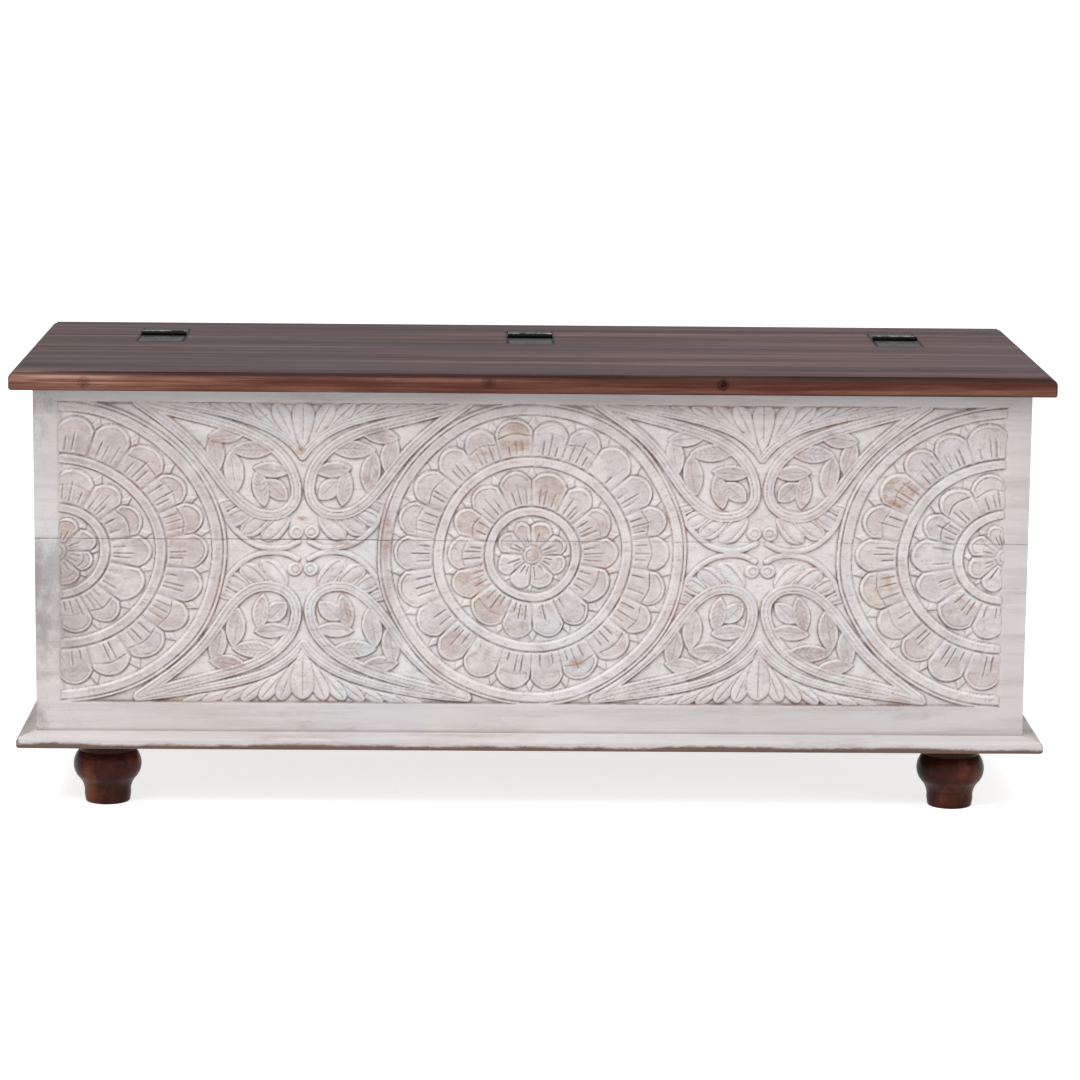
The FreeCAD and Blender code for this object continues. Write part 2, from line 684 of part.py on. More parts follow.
def loop_quarter():
    """The upper right quarter of a loop group: three bands, seven leaves, four lobes and two buds.
    Places and radii are shares of the loops' reach, from the group's own axis."""
    leaf_shares = (((0.222, 0.46), (0.105, 0.35), 0.054, 1.6), ((0.3, 0.53), (0.258, 0.3), 0.053, 1.2),
                   ((0.338, 0.547), (0.097, 0.525), 0.044, 1), ((0.469, 0.663), (0.431, 0.397), 0.058, 1.4),
                   ((0.481, 0.66), (0.2, 0.675), 0.052, 1), ((0.588, 0.772), (0.55, 0.534), 0.054, 1.4),
                   ((0.619, 0.744), (0.394, 0.781), 0.05, 1))
    lobe_shares = ((0.206, 0.163, 0.103, 1), (0.344, 0.194, 0.094, 1.7), (0.45, 0.244, 0.066, 1),
                   (0.519, 0.306, 0.04, 1.7), (0.053, 0.125, 0.048, 1), (0, 0.622, 0.034, 0.75))
    forms = [lens_leaf(*row) for row in leaf_shares]
    for u, w, radius_share, drop_share in lobe_shares:
        x = f"loop_offset + {u} * loop_reach"
        z = f"{LOOP_MIDDLE} + {w} * loop_reach"
        forms.append(carved_cone(f"{radius_share} * loop_reach", x, z, f"{drop_share} * leaf_drop", "Lobe"))
    loop_start_share = (1.0762, 0.984)
    loop_shares = ((3.6752, 13.5), (0.3512, 66.7), (0.1574, 103.6), (0.5463, 44.2), (1.3718, -34.5))
    outer_start_share = (0, 0.6308)
    outer_shares = ((0.8277, -39.9), (4.4421, -9))
    edge_start_share = (0.5113, 0.2876)
    edge_shares = ((0.3714, -57.2), (0.2926, -51.3))
    joints, arcs = arc_chain(loop_start_share, 190.9, loop_shares)
    forms.append(band(joints[:4], arcs[:3], "loop_band_width", "band_drop", "LoopTop"))
    forms.append(band(joints[3:], arcs[3:], "loop_band_width", "band_drop", "LoopFlank"))
    joints, arcs = arc_chain(outer_start_share, 51, outer_shares)
    forms.append(band(joints, arcs, "outer_band_width", "petal_drop", "OuterBand"))
    joints, arcs = arc_chain(edge_start_share, 255.6, edge_shares)
    forms.append(band(joints, arcs, "edge_band_width", "petal_drop", "EdgeBand"))
    return fuse(forms, "LoopQuarter")


def palmette_side(leaf_shares):
    """The leaves on the right of a palmette's axis, from its middle leaf outwards."""
    return fuse([lens_leaf(*row) for row in leaf_shares], "PalmetteSide")


def mirrored(thing, normal, x=0, z=0):
    """A form turned over about an upright or a level plane."""
    turned = doc.addObject("Part::Mirroring", "Mirrored")
    turned.Source = thing
    turned.Normal = FreeCAD.Vector(*normal)
    bind(turned, "Base.x", x)
    bind(turned, "Base.z", z)
    return turned


def loop_groups():
    """Both groups of leafy loops, each mirrored about its axis, the second about the middle."""
    upper_shares = (((0, 0.62), (0, 1.06), 0.08, 1), ((0.05, 0.72), (0.33, 1.01), 0.05, 1.5),
                    ((0.14, 0.8), (0.48, 1.03), 0.044, 1), ((0.26, 0.86), (0.64, 1.03), 0.036, 1.5),
                    ((0.4, 0.91), (0.82, 1.03), 0.028, 1))
    lower_shares = (((0, -0.61), (0, -1.1), 0.085, 1), ((0.03, -0.71), (0.21, -1.05), 0.055, 1.5),
                    ((0.08, -0.77), (0.35, -1.07), 0.052, 1), ((0.14, -0.81), (0.48, -1.07), 0.046, 1.5),
                    ((0.24, -0.86), (0.6, -1.06), 0.038, 1), ((0.34, -0.9), (0.72, -1.05), 0.032, 1.5),
                    ((0.47, -0.93), (0.86, -1.04), 0.026, 1))
    quarter = loop_quarter()
    half = [quarter, mirrored(quarter, (0, 0, 1), z=LOOP_MIDDLE), palmette_side(upper_shares),
            palmette_side(lower_shares)]
    right_group = half + [mirrored(form, (1, 0, 0), x="loop_offset") for form in half]
    return right_group + [mirrored(form, (1, 0, 0)) for form in right_group]


def ring_profile(sketch):
    """Half the medallion's section: boss, three raised rings with leaning sides, and their ground."""
    top = "field_depth - ring_drop"
    ring_shares = ((0.2427, 0.3125), (0.5704, 0.6371), (0.8981, 1))
    boss_share = 0.0607
    corners = [(0, "-carving_root"), (0, top), (f"{boss_share} * medallion_radius", top),
               (f"{boss_share} * medallion_radius + carving_lean", "petal_ground")]
    for inner_share, outer_share in ring_shares:
        inner, outer = f"{inner_share} * medallion_radius", f"{outer_share} * medallion_radius"
        corners += [(inner, "petal_ground"), (f"{inner} + carving_lean", top),
                    (f"{outer} - carving_lean", top), (outer, "petal_ground")]
    corners[-1] = (corners[-1][0], "-carving_root")
    guesses = [(number_of(x), number_of(y)) for x, y in corners]
    polygon(sketch, corners, guesses)


def petal_outline(sketch, root_share, centre_share, round_share):
    """One upright petal: two straight sides that spread from the root, and a round tip."""
    radius = size("medallion_radius")
    root_half_share = round_share * root_share / centre_share
    corner_shares = ((-root_half_share, root_share), (root_half_share, root_share),
                     (round_share, centre_share), (-round_share, centre_share))
    points = [FreeCAD.Vector(x * radius, y * radius, 0) for x, y in corner_shares]
    tip = FreeCAD.Vector(0, (centre_share + round_share) * radius, 0)
    sketch.addGeometry(Part.LineSegment(points[3], points[0]), False)
    sketch.addGeometry(Part.LineSegment(points[0], points[1]), False)
    sketch.addGeometry(Part.LineSegment(points[1], points[2]), False)
    sketch.addGeometry(Part.Arc(points[2], tip, points[3]), False)
    starts = join_ends(sketch, 4)
    for number, (x, y) in enumerate(corner_shares[-1:] + corner_shares[:-1]):
        hold_point(sketch, number, starts[number], f"{x} * medallion_radius", f"{y} * medallion_radius")
    row = sketch.addConstraint(Sketcher.Constraint("DistanceY", -1, 1, 3, 3, points[2].y))
    bind(sketch, f"Constraints[{row}]", f"{centre_share} * medallion_radius")


def make_medallion():
    """The middle medallion: turned rings, with 22, 14 and 8 petals between them."""
    body = doc.addObject("PartDesign::Body", "Medallion")
    sketch = new_sketch(body, "XZ_Plane", "RingSection")
    ring_profile(sketch)
    feature = body.newObject("PartDesign::Revolution", "Rings")
    feature.Profile = sketch
    feature.ReferenceAxis = (sketch, ["V_Axis"])
    feature.Angle = 360
    body.Tip = feature
    petal_shares = ((22, 0.652, 0.783, 0.1045), (14, 0.327, 0.462, 0.0965), (8, 0.075, 0.172, 0.0615))
    for count, root_share, centre_share, round_share in petal_shares:
        sketch = new_sketch(body, "XY_Plane", f"Petal{count}Outline")
        turn = FreeCAD.Rotation(FreeCAD.Vector(0, 0, 1), 180 / count)
        sketch.AttachmentOffset = FreeCAD.Placement(FreeCAD.Vector(), turn)
        petal_outline(sketch, root_share, centre_share, round_share)
        feature = pad(body, sketch, "field_depth - petal_drop", f"Petal{count}")
        feature.TaperAngle = -PETAL_LEAN
        ring = body.newObject("PartDesign::PolarPattern", f"Petals{count}")
        ring.Originals = [feature]
        ring.Axis = (sketch, ["N_Axis"])
        ring.Angle = 360
        ring.Occurrences = count
        body.Tip = ring
        doc.recompute()
    body.Placement = FreeCAD.Placement(FreeCAD.Vector(), OUTWARD)
    put(body, 0, FIELD_FACE, FIELD_MIDDLE)
    return body


def carved_forms():
    """All raised forms of the front: three medallions and both loop groups."""
    medallion = make_medallion()
    right_half = group([medallion], "RightMedallion")
    put(right_half, f"{FIELD_X} - half_medallion_inset", 0, 0)
    forms = [medallion, right_half, mirrored(right_half, (1, 0, 0))] + loop_groups()
    doc.recompute()
    return forms


def front_seams():
    """Heights at which the front's four boards meet, from the bottom to the top."""
    widths = ("bottom_board_width", "lower_board_width", "upper_board_width", "top_board_width")
    per_width = f"(({BODY_TOP} - {BODY_BOTTOM}) / ({' + '.join(widths)}))"
    seams = [f"({BODY_BOTTOM} + {per_width} * ({' + '.join(widths[:count])}))" for count in (1, 2, 3)]
    return [BODY_BOTTOM] + seams + [BODY_TOP]


def make_front():
    """The carved front, glued up of four boards: a plain border round a sunk field, in which the
    carving stands. Each board takes the part of every form that crosses it."""
    forms = carved_forms()
    levels = front_seams()
    x = ("-body_length / 2", "body_length / 2")
    y = ("-body_depth / 2", INNER_FRONT)
    field_x = (f"-{FIELD_X}", FIELD_X)
    names = ("front_board_bottom", "front_board_lower", "front_board_upper", "front_board_top")
    for number, label in enumerate(names):
        low, high = levels[number], levels[number + 1]
        field_z = (low if number else FIELD_LOW, high if number < len(names) - 1 else FIELD_HIGH)
        board = block(x, y, (low, high), "FrontBlank")
        recess = block(field_x, ("-body_depth / 2 - overrun", FIELD_FACE), field_z, "FieldRecess")
        window = block(field_x, ("-body_depth / 2", FIELD_ROOT), field_z, "FieldWindow")
        holes = [peg for key, peg in dowels("fastener_clearance").items() if key[0] == "front"]
        holes += wall_pilots("front")
        doc.recompute()
        worked = cut(board, [recess] + [hole for hole in holes if cross(hole, board)], "WorkedBoard")
        raised = [common(form, window, "BoardCarving") for form in forms if cross(form, window)]
        keep(fuse([worked] + raised, "CarvedBoard"), label)


def make_walls():
    """The back, the two sides between front and back, the floor and the four corner posts."""
    height = (BODY_BOTTOM, BODY_TOP)
    holes = dowels("fastener_clearance")
    back_holes = [peg for key, peg in holes.items() if key[0] == "back"]
    back = block(("-body_length / 2", "body_length / 2"), (INNER_BACK, "body_depth / 2"), height, "Back")
    keep(cut(back, back_holes + wall_pilots("back"), "WorkedBack"), "back_panel")
    for name, side in SIDES:
        x = {-1: ("-body_length / 2", f"-{INNER_X}"), 1: (INNER_X, "body_length / 2")}[side]
        side_holes = [peg for key, peg in dowels("fastener_clearance").items() if key[1] == name]
        wall = block(x, (INNER_FRONT, INNER_BACK), height, "Side")
        keep(cut(wall, side_holes + wall_pilots(name), "WorkedSide"), f"{name}_side_panel")
        for end_name, end in ENDS:
            post_x = {-1: (f"-{INNER_X}", f"post_width - {INNER_X}"),
                      1: (f"{INNER_X} - post_width", INNER_X)}[side]
            post_y = {-1: (INNER_FRONT, f"{INNER_FRONT} + post_width"),
                      1: (f"{INNER_BACK} - post_width", INNER_BACK)}[end]
            post = block(post_x, post_y, (FLOOR_TOP, BATTEN_BOTTOM), "Post")
            keep(post, f"corner_post_{end_name}_{name}")
    pegs = list(dowels().values())
    keep(group(pegs), "corner_dowels")
    floor_x = (f"floor_clearance - {INNER_X}", f"{INNER_X} - floor_clearance")
    floor_y = (f"{INNER_FRONT} + floor_clearance", f"{INNER_BACK} - floor_clearance")
    keep(block(floor_x, floor_y, (BODY_BOTTOM, FLOOR_TOP), "Floor"), "floor_panel")


def base_blank(half_length, name):
    """A base board on the X axis, nose towards -Y: sloped top, rounded nose and mitred ends."""
    body = doc.addObject("PartDesign::Body", name)
    section = new_sketch(body, "YZ_Plane", f"{name}Section")
    corners = ((0, 0), ("base_board_width", 0), ("base_board_width", "base_thickness"),
               ("base_overhang", "base_thickness"), (0, "base_nose_height"))
    first_guess_shares = ((0, 0), (3, 0), (3, 2), (1, 2), (0, 1))
    polygon(section, corners, first_guess_shares)
    feature = pad(body, section, f"2 * {half_length}", f"{name}Strip", symmetric=True)
    nose_height = size("base_nose_height")
    on_nose = lambda edge: (round(edge.BoundBox.YMax, DIGITS) == 0
                            and edge.BoundBox.XLength > nose_height)
    feature = round_edges(body, feature, lambda edge: on_nose(edge) and is_level(edge, nose_height),
                          "base_nose_round", f"{name}Nose")
    feature = round_edges(body, feature, lambda edge: on_nose(edge) and is_level(edge, 0),
                          "base_lip_round", f"{name}Lip")
    before = feature.Shape.Volume
    mitre = new_sketch(body, "XY_Plane", f"{name}MitreLines")
    for side in (-1, 1):
        tip = f"{side} * {half_length}"
        inner = f"{side} * ({half_length} - base_board_width)"
        corners = ((tip, 0), (tip, "base_board_width"), (inner, "base_board_width"))
        guess_shares = ((side * 4, 0), (side * 4, 1), (side * 3, 1))
        polygon(mitre, corners, guess_shares)
    saw_cut = body.newObject("PartDesign::Pocket", f"{name}Mitres")
    saw_cut.Profile = mitre
    saw_cut.Type = "ThroughAll"
    saw_cut.Reversed = True
    body.Tip = saw_cut
    doc.recompute()
    if saw_cut.Shape.Volume >= before:
        raise RuntimeError(f"{name}: the mitres cut nothing")
    return body


def make_base():
    """Four mitred base boards round the foot of the box, two floor bearers and the screws."""
    length = "base_thickness + base_screw_bite"
    turns = {"front": (0, 0, f"-{BASE_HALF_Y}", BASE_HALF_X), "right": (90, BASE_HALF_X, 0, BASE_HALF_Y),
             "back": (180, 0, BASE_HALF_Y, BASE_HALF_X), "left": (270, f"-{BASE_HALF_X}", 0, BASE_HALF_Y)}
    for wall, (angle, x, y, half_length) in turns.items():
        blank = base_blank(half_length, f"Base{wall.capitalize()}")
        turn = FreeCAD.Rotation(FreeCAD.Vector(0, 0, 1), angle)
        blank.Placement = FreeCAD.Placement(FreeCAD.Vector(), turn)
        put(blank, x, y, "foot_height")
        holes = [wood_screw(sx, sy, "foot_height", length, "fastener_clearance", "BaseHole")
                 for sx, sy in base_screw_places()[wall]]
        if wall in ("front", "back"):
            y = f"-{FOOT_Y}" if wall == "front" else FOOT_Y
            holes += [rod("foot_bolt_radius + fastener_clearance",
                          "foot_bolt_up + fastener_clearance + overrun", f"{side} * {FOOT_X}", y,
                          "foot_height - overrun", name="BoltHole") for _, side in SIDES]
        keep(cut(blank, holes, "BaseBoard"), f"base_board_{wall}")
    places = [place for row in base_screw_places().values() for place in row]
    keep(group([wood_screw(x, y, "foot_height", length) for x, y in places]), "base_screws")
    ends = f"({BASE_HALF_Y} - base_board_width)"
    for name, side in SIDES:
        middle = f"{side} * ({INNER_X} - bearer_inset)"
        x = (f"{middle} - bearer_width / 2", f"{middle} + bearer_width / 2")
        bearer = block(x, (f"-{ends}", ends), ("foot_height", BODY_BOTTOM), "Bearer")
        keep(bearer, f"floor_bearer_{name}")


def arc_between(start, end, centre, radius):
    """The arc from start to end about a centre, on its shorter side."""
    middle = (start - centre).normalize() + (end - centre).normalize()
    return Part.Arc(start, centre + middle.normalize() * radius, end)


def join_ends(sketch, count):
    """Join the last count pieces of a sketch end to end; gives the end that each starts with."""
    starts = []
    for number in range(count):
        after = (number + 1) % count
        near = [(sketch.getPoint(number, one) - sketch.getPoint(after, other)).Length
                for one in (1, 2) for other in (1, 2)]
        best = near.index(min(near))
        sketch.addConstraint(Sketcher.Constraint("Coincident", number, best // 2 + 1, after, best % 2 + 1))
        starts.append(best % 2 + 1)
    return [starts[-1]] + starts[:-1]


def foot_outline(sketch):
    """Half the foot's outline: neck, belly, hollow ankle and toe, up the sketch's own axis."""
    toe = "foot_toe_radius - foot_toe_round"
    corners = ((0, "foot_height"), ("foot_neck_radius", "foot_height"),
               ("foot_neck_radius", "foot_neck_end"), ("foot_belly_radius", "foot_belly_height"),
               ("foot_turn_radius", "foot_turn_height"), ("foot_ankle_radius", "foot_ankle_height"),
               ("foot_toe_radius", "foot_toe_round"), (toe, 0), (0, 0))
    points = [FreeCAD.Vector(number_of(across), number_of(up), 0) for across, up in corners]
    _, _, neck, belly, turn, ankle, toe_side, sole, _ = points

    def level_arc(start, end):
        """An arc that is upright at its end, so its centre is level with that end."""
        rise = start.y - end.y
        run = end.x - start.x
        radius = (rise * rise + run * run) / (2 * run)
        return arc_between(start, end, FreeCAD.Vector(end.x - radius, end.y, 0), radius)

    chord = ankle - turn
    hollow_radius = size("foot_hollow_radius")
    reach = (hollow_radius ** 2 - (chord.Length / 2) ** 2) ** 0.5
    outward = FreeCAD.Vector(-chord.y, chord.x, 0).normalize()
    hollow_centre = (turn + ankle) * 0.5 + outward * reach
    pieces = [Part.LineSegment(points[0], points[1]), Part.LineSegment(points[1], neck),
              level_arc(neck, belly), level_arc(turn, belly),
              arc_between(turn, ankle, hollow_centre, hollow_radius),
              Part.LineSegment(ankle, toe_side),
              arc_between(toe_side, sole, FreeCAD.Vector(sole.x, toe_side.y, 0), toe_side.y),
              Part.LineSegment(sole, points[8]), Part.LineSegment(points[8], points[0])]
    for piece in pieces:
        sketch.addGeometry(piece, False)
    starts = join_ends(sketch, len(pieces))
    for number, (across, up) in enumerate(corners):
        hold_point(sketch, number, starts[number], across, up)
    for arc, level in ((2, "foot_belly_height"), (3, "foot_belly_height"), (6, "foot_toe_round")):
        first_guess = sketch.getPoint(arc, 3).y
        row = sketch.addConstraint(Sketcher.Constraint("DistanceY", -1, 1, arc, 3, first_guess))
        bind(sketch, f"Constraints[{row}]", level)
    row = sketch.addConstraint(Sketcher.Constraint("Radius", 4, hollow_radius))
    bind(sketch, f"Constraints[{row}]", "foot_hollow_radius")


def make_foot(label, x, y):
    """A turned foot with a bored top for its bolt."""
    body = doc.addObject("PartDesign::Body", "Foot")
    sketch = new_sketch(body, "XZ_Plane", "FootOutline")
    foot_outline(sketch)
    turning = body.newObject("PartDesign::Revolution", "FootTurning")
    turning.Profile = sketch
    turning.ReferenceAxis = (sketch, ["V_Axis"])
    turning.Angle = 360
    body.Tip = turning
    put(body, x, y, 0)
    depth = "foot_bolt_down + fastener_clearance"
    bore = rod("foot_bolt_radius + fastener_clearance", f"{depth} + overrun", x, y,
               f"foot_height - ({depth})", name="FootBore")
    return keep(cut(body, [bore], "BoredFoot"), label)


def make_feet():
    """Four turned feet and the bolts that hold them."""
    bolts = []
    for end_name, end in ENDS:
        for name, side in SIDES:
            x = f"{side} * {FOOT_X}"
            y = f"{end} * {FOOT_Y}"
            make_foot(f"foot_{end_name}_{name}", x, y)
            bolts.append(rod("foot_bolt_radius", "foot_bolt_down + foot_bolt_up", x, y,
                             "foot_height - foot_bolt_down", name="FootBolt"))
    keep(group(bolts), "foot_bolts")


def write_parts():
    """Check every object, then write each sub-part."""
    doc.recompute()
    for thing in doc.Objects:
        if "Invalid" in thing.State or "Error" in thing.State:
            raise RuntimeError(f"{thing.Name} ({thing.Label}) failed: {thing.State}")
    for thing in sub_parts:
        if thing.Shape.isNull() or not thing.Shape.isValid() or not thing.Shape.Solids:
            raise RuntimeError(f"{thing.Label}: no valid solid")
    os.makedirs("parts", exist_ok=True)
    for thing in sub_parts:
        thing.Shape.exportStep(f"parts/{thing.Label}.step")


make_top()
make_battens()
make_hinges()
make_front()
make_walls()
make_base()
make_feet()
write_parts()
print(len(sub_parts), "sub-parts written")
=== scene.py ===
import math
import random

import bmesh
import bpy
import numpy as np
from mathutils import Matrix, Vector


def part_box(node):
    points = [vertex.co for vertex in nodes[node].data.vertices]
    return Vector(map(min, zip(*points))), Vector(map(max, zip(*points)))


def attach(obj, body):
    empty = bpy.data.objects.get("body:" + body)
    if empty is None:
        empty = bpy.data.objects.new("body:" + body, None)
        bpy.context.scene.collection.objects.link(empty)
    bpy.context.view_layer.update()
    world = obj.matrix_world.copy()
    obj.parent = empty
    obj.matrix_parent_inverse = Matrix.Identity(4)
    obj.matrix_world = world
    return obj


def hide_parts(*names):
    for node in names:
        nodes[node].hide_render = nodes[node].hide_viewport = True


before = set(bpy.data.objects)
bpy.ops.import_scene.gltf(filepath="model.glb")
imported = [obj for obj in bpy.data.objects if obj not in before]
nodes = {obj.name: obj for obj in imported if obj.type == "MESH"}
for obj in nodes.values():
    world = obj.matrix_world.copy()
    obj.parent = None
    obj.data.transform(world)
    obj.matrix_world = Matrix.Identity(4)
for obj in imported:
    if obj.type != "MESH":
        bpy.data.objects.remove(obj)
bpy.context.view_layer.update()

# The view: a long lens a little above the chest and very slightly to its left, looking down
# on the front and on a thin slice of the top. The chest stands in the middle of the floor.
camera_place = Vector((-0.067, -4.329, 1.014))
yaw, pitch, roll = (math.radians(angle) for angle in (-1.042, 9.894, 0.560))
ahead = Matrix.Rotation(yaw, 3, "Z") @ Vector((0, math.cos(pitch), -math.sin(pitch)))
level_right = Matrix.Rotation(yaw, 3, "Z") @ Vector((1, 0, 0))
level_up = level_right.cross(ahead)
right = math.cos(roll) * level_right + math.sin(roll) * level_up
up = math.cos(roll) * level_up - math.sin(roll) * level_right
lens = bpy.data.cameras.new("view")
lens.sensor_fit = "HORIZONTAL"
lens.sensor_width = 36
lens.lens = 131.77
lens.clip_end = 100
camera = bpy.data.objects.new("view", lens)
camera.matrix_world = Matrix.Translation(camera_place) @ Matrix((right, up, -ahead)).transposed().to_4x4()
bpy.context.scene.collection.objects.link(camera)
bpy.context.scene.camera = camera
bpy.context.scene.view_settings.view_transform = "Standard"


# The studio: a pale floor that runs far back, white all round, one large soft light high on the
# left, a broad one overhead and a weak one on the right.
def node(tree, kind, settings=None, **inputs):
    """Add a shader node; an input is another node's output or a plain value."""
    made = tree.nodes.new(kind)
    for name, value in (settings or {}).items():
        setattr(made, name, value)
    for name, value in inputs.items():
        key = int(name[1:]) if name[0] == "i" and name[1:].isdigit() else name.replace("_", " ")
        socket = made.inputs[key]
        if isinstance(value, bpy.types.NodeSocket):
            tree.links.new(value, socket)
        else:
            socket.default_value = value
    return made


def seen_ray(tree):
    """1 for what the eye, a reflection or a view through glass sees, 0 for light that bounces."""
    path = node(tree, "ShaderNodeLightPath")
    seen = node(tree, "ShaderNodeMath", {"operation": "MAXIMUM"},
                i0=path.outputs["Is Camera Ray"], i1=path.outputs["Is Glossy Ray"])
    return node(tree, "ShaderNodeMath", {"operation": "MAXIMUM"},
                i0=seen.outputs[0], i1=path.outputs["Is Transmission Ray"]).outputs[0]


def stand(shape, name):
    """Make an object of a finished shape and put it in the scene."""
    mesh = bpy.data.meshes.new(name)
    shape.to_mesh(mesh)
    shape.free()
    made = bpy.data.objects.new(name, mesh)
    bpy.context.scene.collection.objects.link(made)
    return made


def studio_floor():
    """A wide pale floor that keeps the chest's shadow."""
    shape = bmesh.new()
    bmesh.ops.create_grid(shape, x_segments=1, y_segments=1, size=40)
    floor = stand(shape, "floor")
    pale = bpy.data.materials.new("studio_floor")
    pale.use_nodes = True
    tree = pale.node_tree
    tree.nodes.clear()
    matt = node(tree, "ShaderNodeBsdfDiffuse", Color=(0.86, 0.86, 0.86, 1))
    glow = node(tree, "ShaderNodeEmission", Strength=0.75)
    lift = node(tree, "ShaderNodeAddShader", i0=matt.outputs[0], i1=glow.outputs[0])
    both = node(tree, "ShaderNodeMixShader", Fac=seen_ray(tree), i1=matt.outputs[0], i2=lift.outputs[0])
    node(tree, "ShaderNodeOutputMaterial", Surface=both.outputs[0])
    floor.data.materials.append(pale)


def soft_light(name, place, size, watts):
    """A rectangular soft box turned to the chest."""
    box = bpy.data.lights.new(name, "AREA")
    box.shape = "RECTANGLE"
    box.size, box.size_y = size
    box.energy = watts
    lamp = bpy.data.objects.new(name, box)
    lamp.location = place
    lamp.rotation_euler = (Vector((0, 0, 0.25)) - Vector(place)).to_track_quat("-Z", "Y").to_euler()
    bpy.context.scene.collection.objects.link(lamp)


studio_floor()
soft_light("left_box", (-2.2, -3.1, 3.5), (1.8, 1.2), 70)
soft_light("top_box", (0.3, -0.9, 3.2), (2.6, 1.4), 30)
soft_light("right_box", (3.2, -2.6, 1.4), (1.4, 1.4), 12)
sky = bpy.data.worlds.new("studio")
sky.use_nodes = True
sky.node_tree.nodes.clear()
strength = node(sky.node_tree, "ShaderNodeMapRange", Value=seen_ray(sky.node_tree), To_Min=0.46, To_Max=1.0)
air = node(sky.node_tree, "ShaderNodeBackground", Color=(1, 1, 1, 1), Strength=strength.outputs[0])
node(sky.node_tree, "ShaderNodeOutputWorld", Surface=air.outputs[0])
bpy.context.scene.world = sky


# The carved front: four glued boards with a plain border and a field sunk 4 mm, in which three
# medallions and two groups of leafy loops stand, all cut by hand with gouges. Over it lies thin
# milky paint, rubbed back: pale on the flats, grey-brown in every recess, bare on worn edges.
# The grey-brown in the recesses is dirt and painted shade, and the edges carry painted highlights.
def finish(name, roughness, specular):
    """A material with one plain shader; gives the material, its tree and the shader."""
    made = bpy.data.materials.new(name)
    made.use_nodes = True
    tree = made.node_tree
    shader = tree.nodes["Principled BSDF"]
    shader.inputs["Roughness"].default_value = roughness
    shader.inputs["Specular IOR Level"].default_value = specular
    return made, tree, shader


def on_object(tree):
    """The place on the object."""
    return node(tree, "ShaderNodeTexCoord").outputs["Object"]


def where(tree, scale=(1, 1, 1), shift=(0, 0, 0)):
    """The place on the object, stretched; in a material for boards that run from front to back,
    which is marked turned, X is the way along those boards."""
    place = on_object(tree)
    if tree.get("turned"):
        place = node(tree, "ShaderNodeMapping", Vector=place, Rotation=(0, 0, -math.pi / 2)).outputs[0]
    return node(tree, "ShaderNodeMapping", Vector=place, Scale=scale, Location=shift).outputs[0]


def noise(tree, scale, detail=4.0, rough=0.55, stretch=(1, 1, 1), shift=(0, 0, 0)):
    """Cloudy noise; scale is in patches per metre."""
    return node(tree, "ShaderNodeTexNoise", Vector=where(tree, stretch, shift), Scale=scale, Detail=detail,
                Roughness=rough).outputs["Fac"]


def ramp(tree, value, *stops):
    """A ramp of greys or colours over a value."""
    made = node(tree, "ShaderNodeValToRGB", Fac=value)
    points = made.color_ramp.elements
    while len(points) < len(stops):
        points.new(0.5)
    for point, (place, colour) in zip(points, stops):
        point.position = place
        point.color = (*colour, 1) if isinstance(colour, tuple) else (colour, colour, colour, 1)
    return made.outputs["Color"]


def math_node(tree, operation, a, b=0.0):
    """One sum on values."""
    return node(tree, "ShaderNodeMath", {"operation": operation}, i0=a, i1=b).outputs[0]


def times(tree, a, b):
    """The product of two values."""
    return math_node(tree, "MULTIPLY", a, b)


def off(tree, value, middle):
    """How far a value is from a middle."""
    return math_node(tree, "ABSOLUTE", math_node(tree, "SUBTRACT", value, middle))


def graded(tree, value, start, stop, first, last):
    """First where a value is at start, last where it is at stop, and evenly between them."""
    return node(tree, "ShaderNodeMapRange", Value=value, From_Min=start, From_Max=stop, To_Min=first,
                To_Max=last).outputs[0]


def split(tree, vector):
    """The X, Y and Z of a place or a direction."""
    return node(tree, "ShaderNodeSeparateXYZ", Vector=vector).outputs


def mixed(tree, amount, under, over, how="MIX"):
    """One colour laid over another."""
    under, over = ((*one, 1) if isinstance(one, tuple) else one for one in (under, over))
    made = node(tree, "ShaderNodeMixRGB", {"blend_type": how}, Fac=amount, Color1=under, Color2=over)
    return made.outputs[0]


def laid(tree, under, value, start, stop, most, over):
    """A colour laid over another: not at all where a value is below start, most past stop."""
    return mixed(tree, ramp(tree, value, (start, 0.0), (stop, most)), under, over)


def bumped(tree, shader, height, strength, distance):
    """Raise the surface by a value."""
    made = node(tree, "ShaderNodeBump", Height=height, Strength=strength, Distance=distance)
    tree.links.new(made.outputs[0], shader.inputs["Normal"])


def colour(red, green, blue):
    """A colour as it is seen on a screen, 0 to 255, for a shader."""
    return tuple(c / 12.92 if c <= 0.04045 else ((c + 0.055) / 1.055) ** 2.4
                 for c in (red / 255, green / 255, blue / 255))


def inside_of_box(tree):
    """1 on the walls of the storage space, 0 on the outside of the chest."""
    skin = 0.0005
    x, y, z = split(tree, on_object(tree))
    side_low, back_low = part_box("right_side_panel")[0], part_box("back_panel")[0]
    wide = math_node(tree, "LESS_THAN", math_node(tree, "ABSOLUTE", x), side_low.x + skin)
    front = math_node(tree, "GREATER_THAN", y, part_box("front_board_top")[1].y - skin)
    back = math_node(tree, "LESS_THAN", y, back_low.y + skin)
    above = math_node(tree, "GREATER_THAN", z, back_low.z + skin)
    return times(tree, times(tree, wide, front), times(tree, back, above))


def bare_wood_colour(tree):
    """Planed light brown wood with its grain along the boards."""
    grain = noise(tree, 26, 6, 0.6, (0.06, 1, 1))
    streaks = noise(tree, 150, 3, 0.6, (0.03, 1, 1))
    wood = ramp(tree, grain, (0.3, colour(128, 88, 56)), (0.52, colour(168, 122, 82)),
                (0.75, colour(190, 148, 106)))
    return laid(tree, wood, streaks, 0.45, 0.75, 0.35, colour(104, 68, 42))


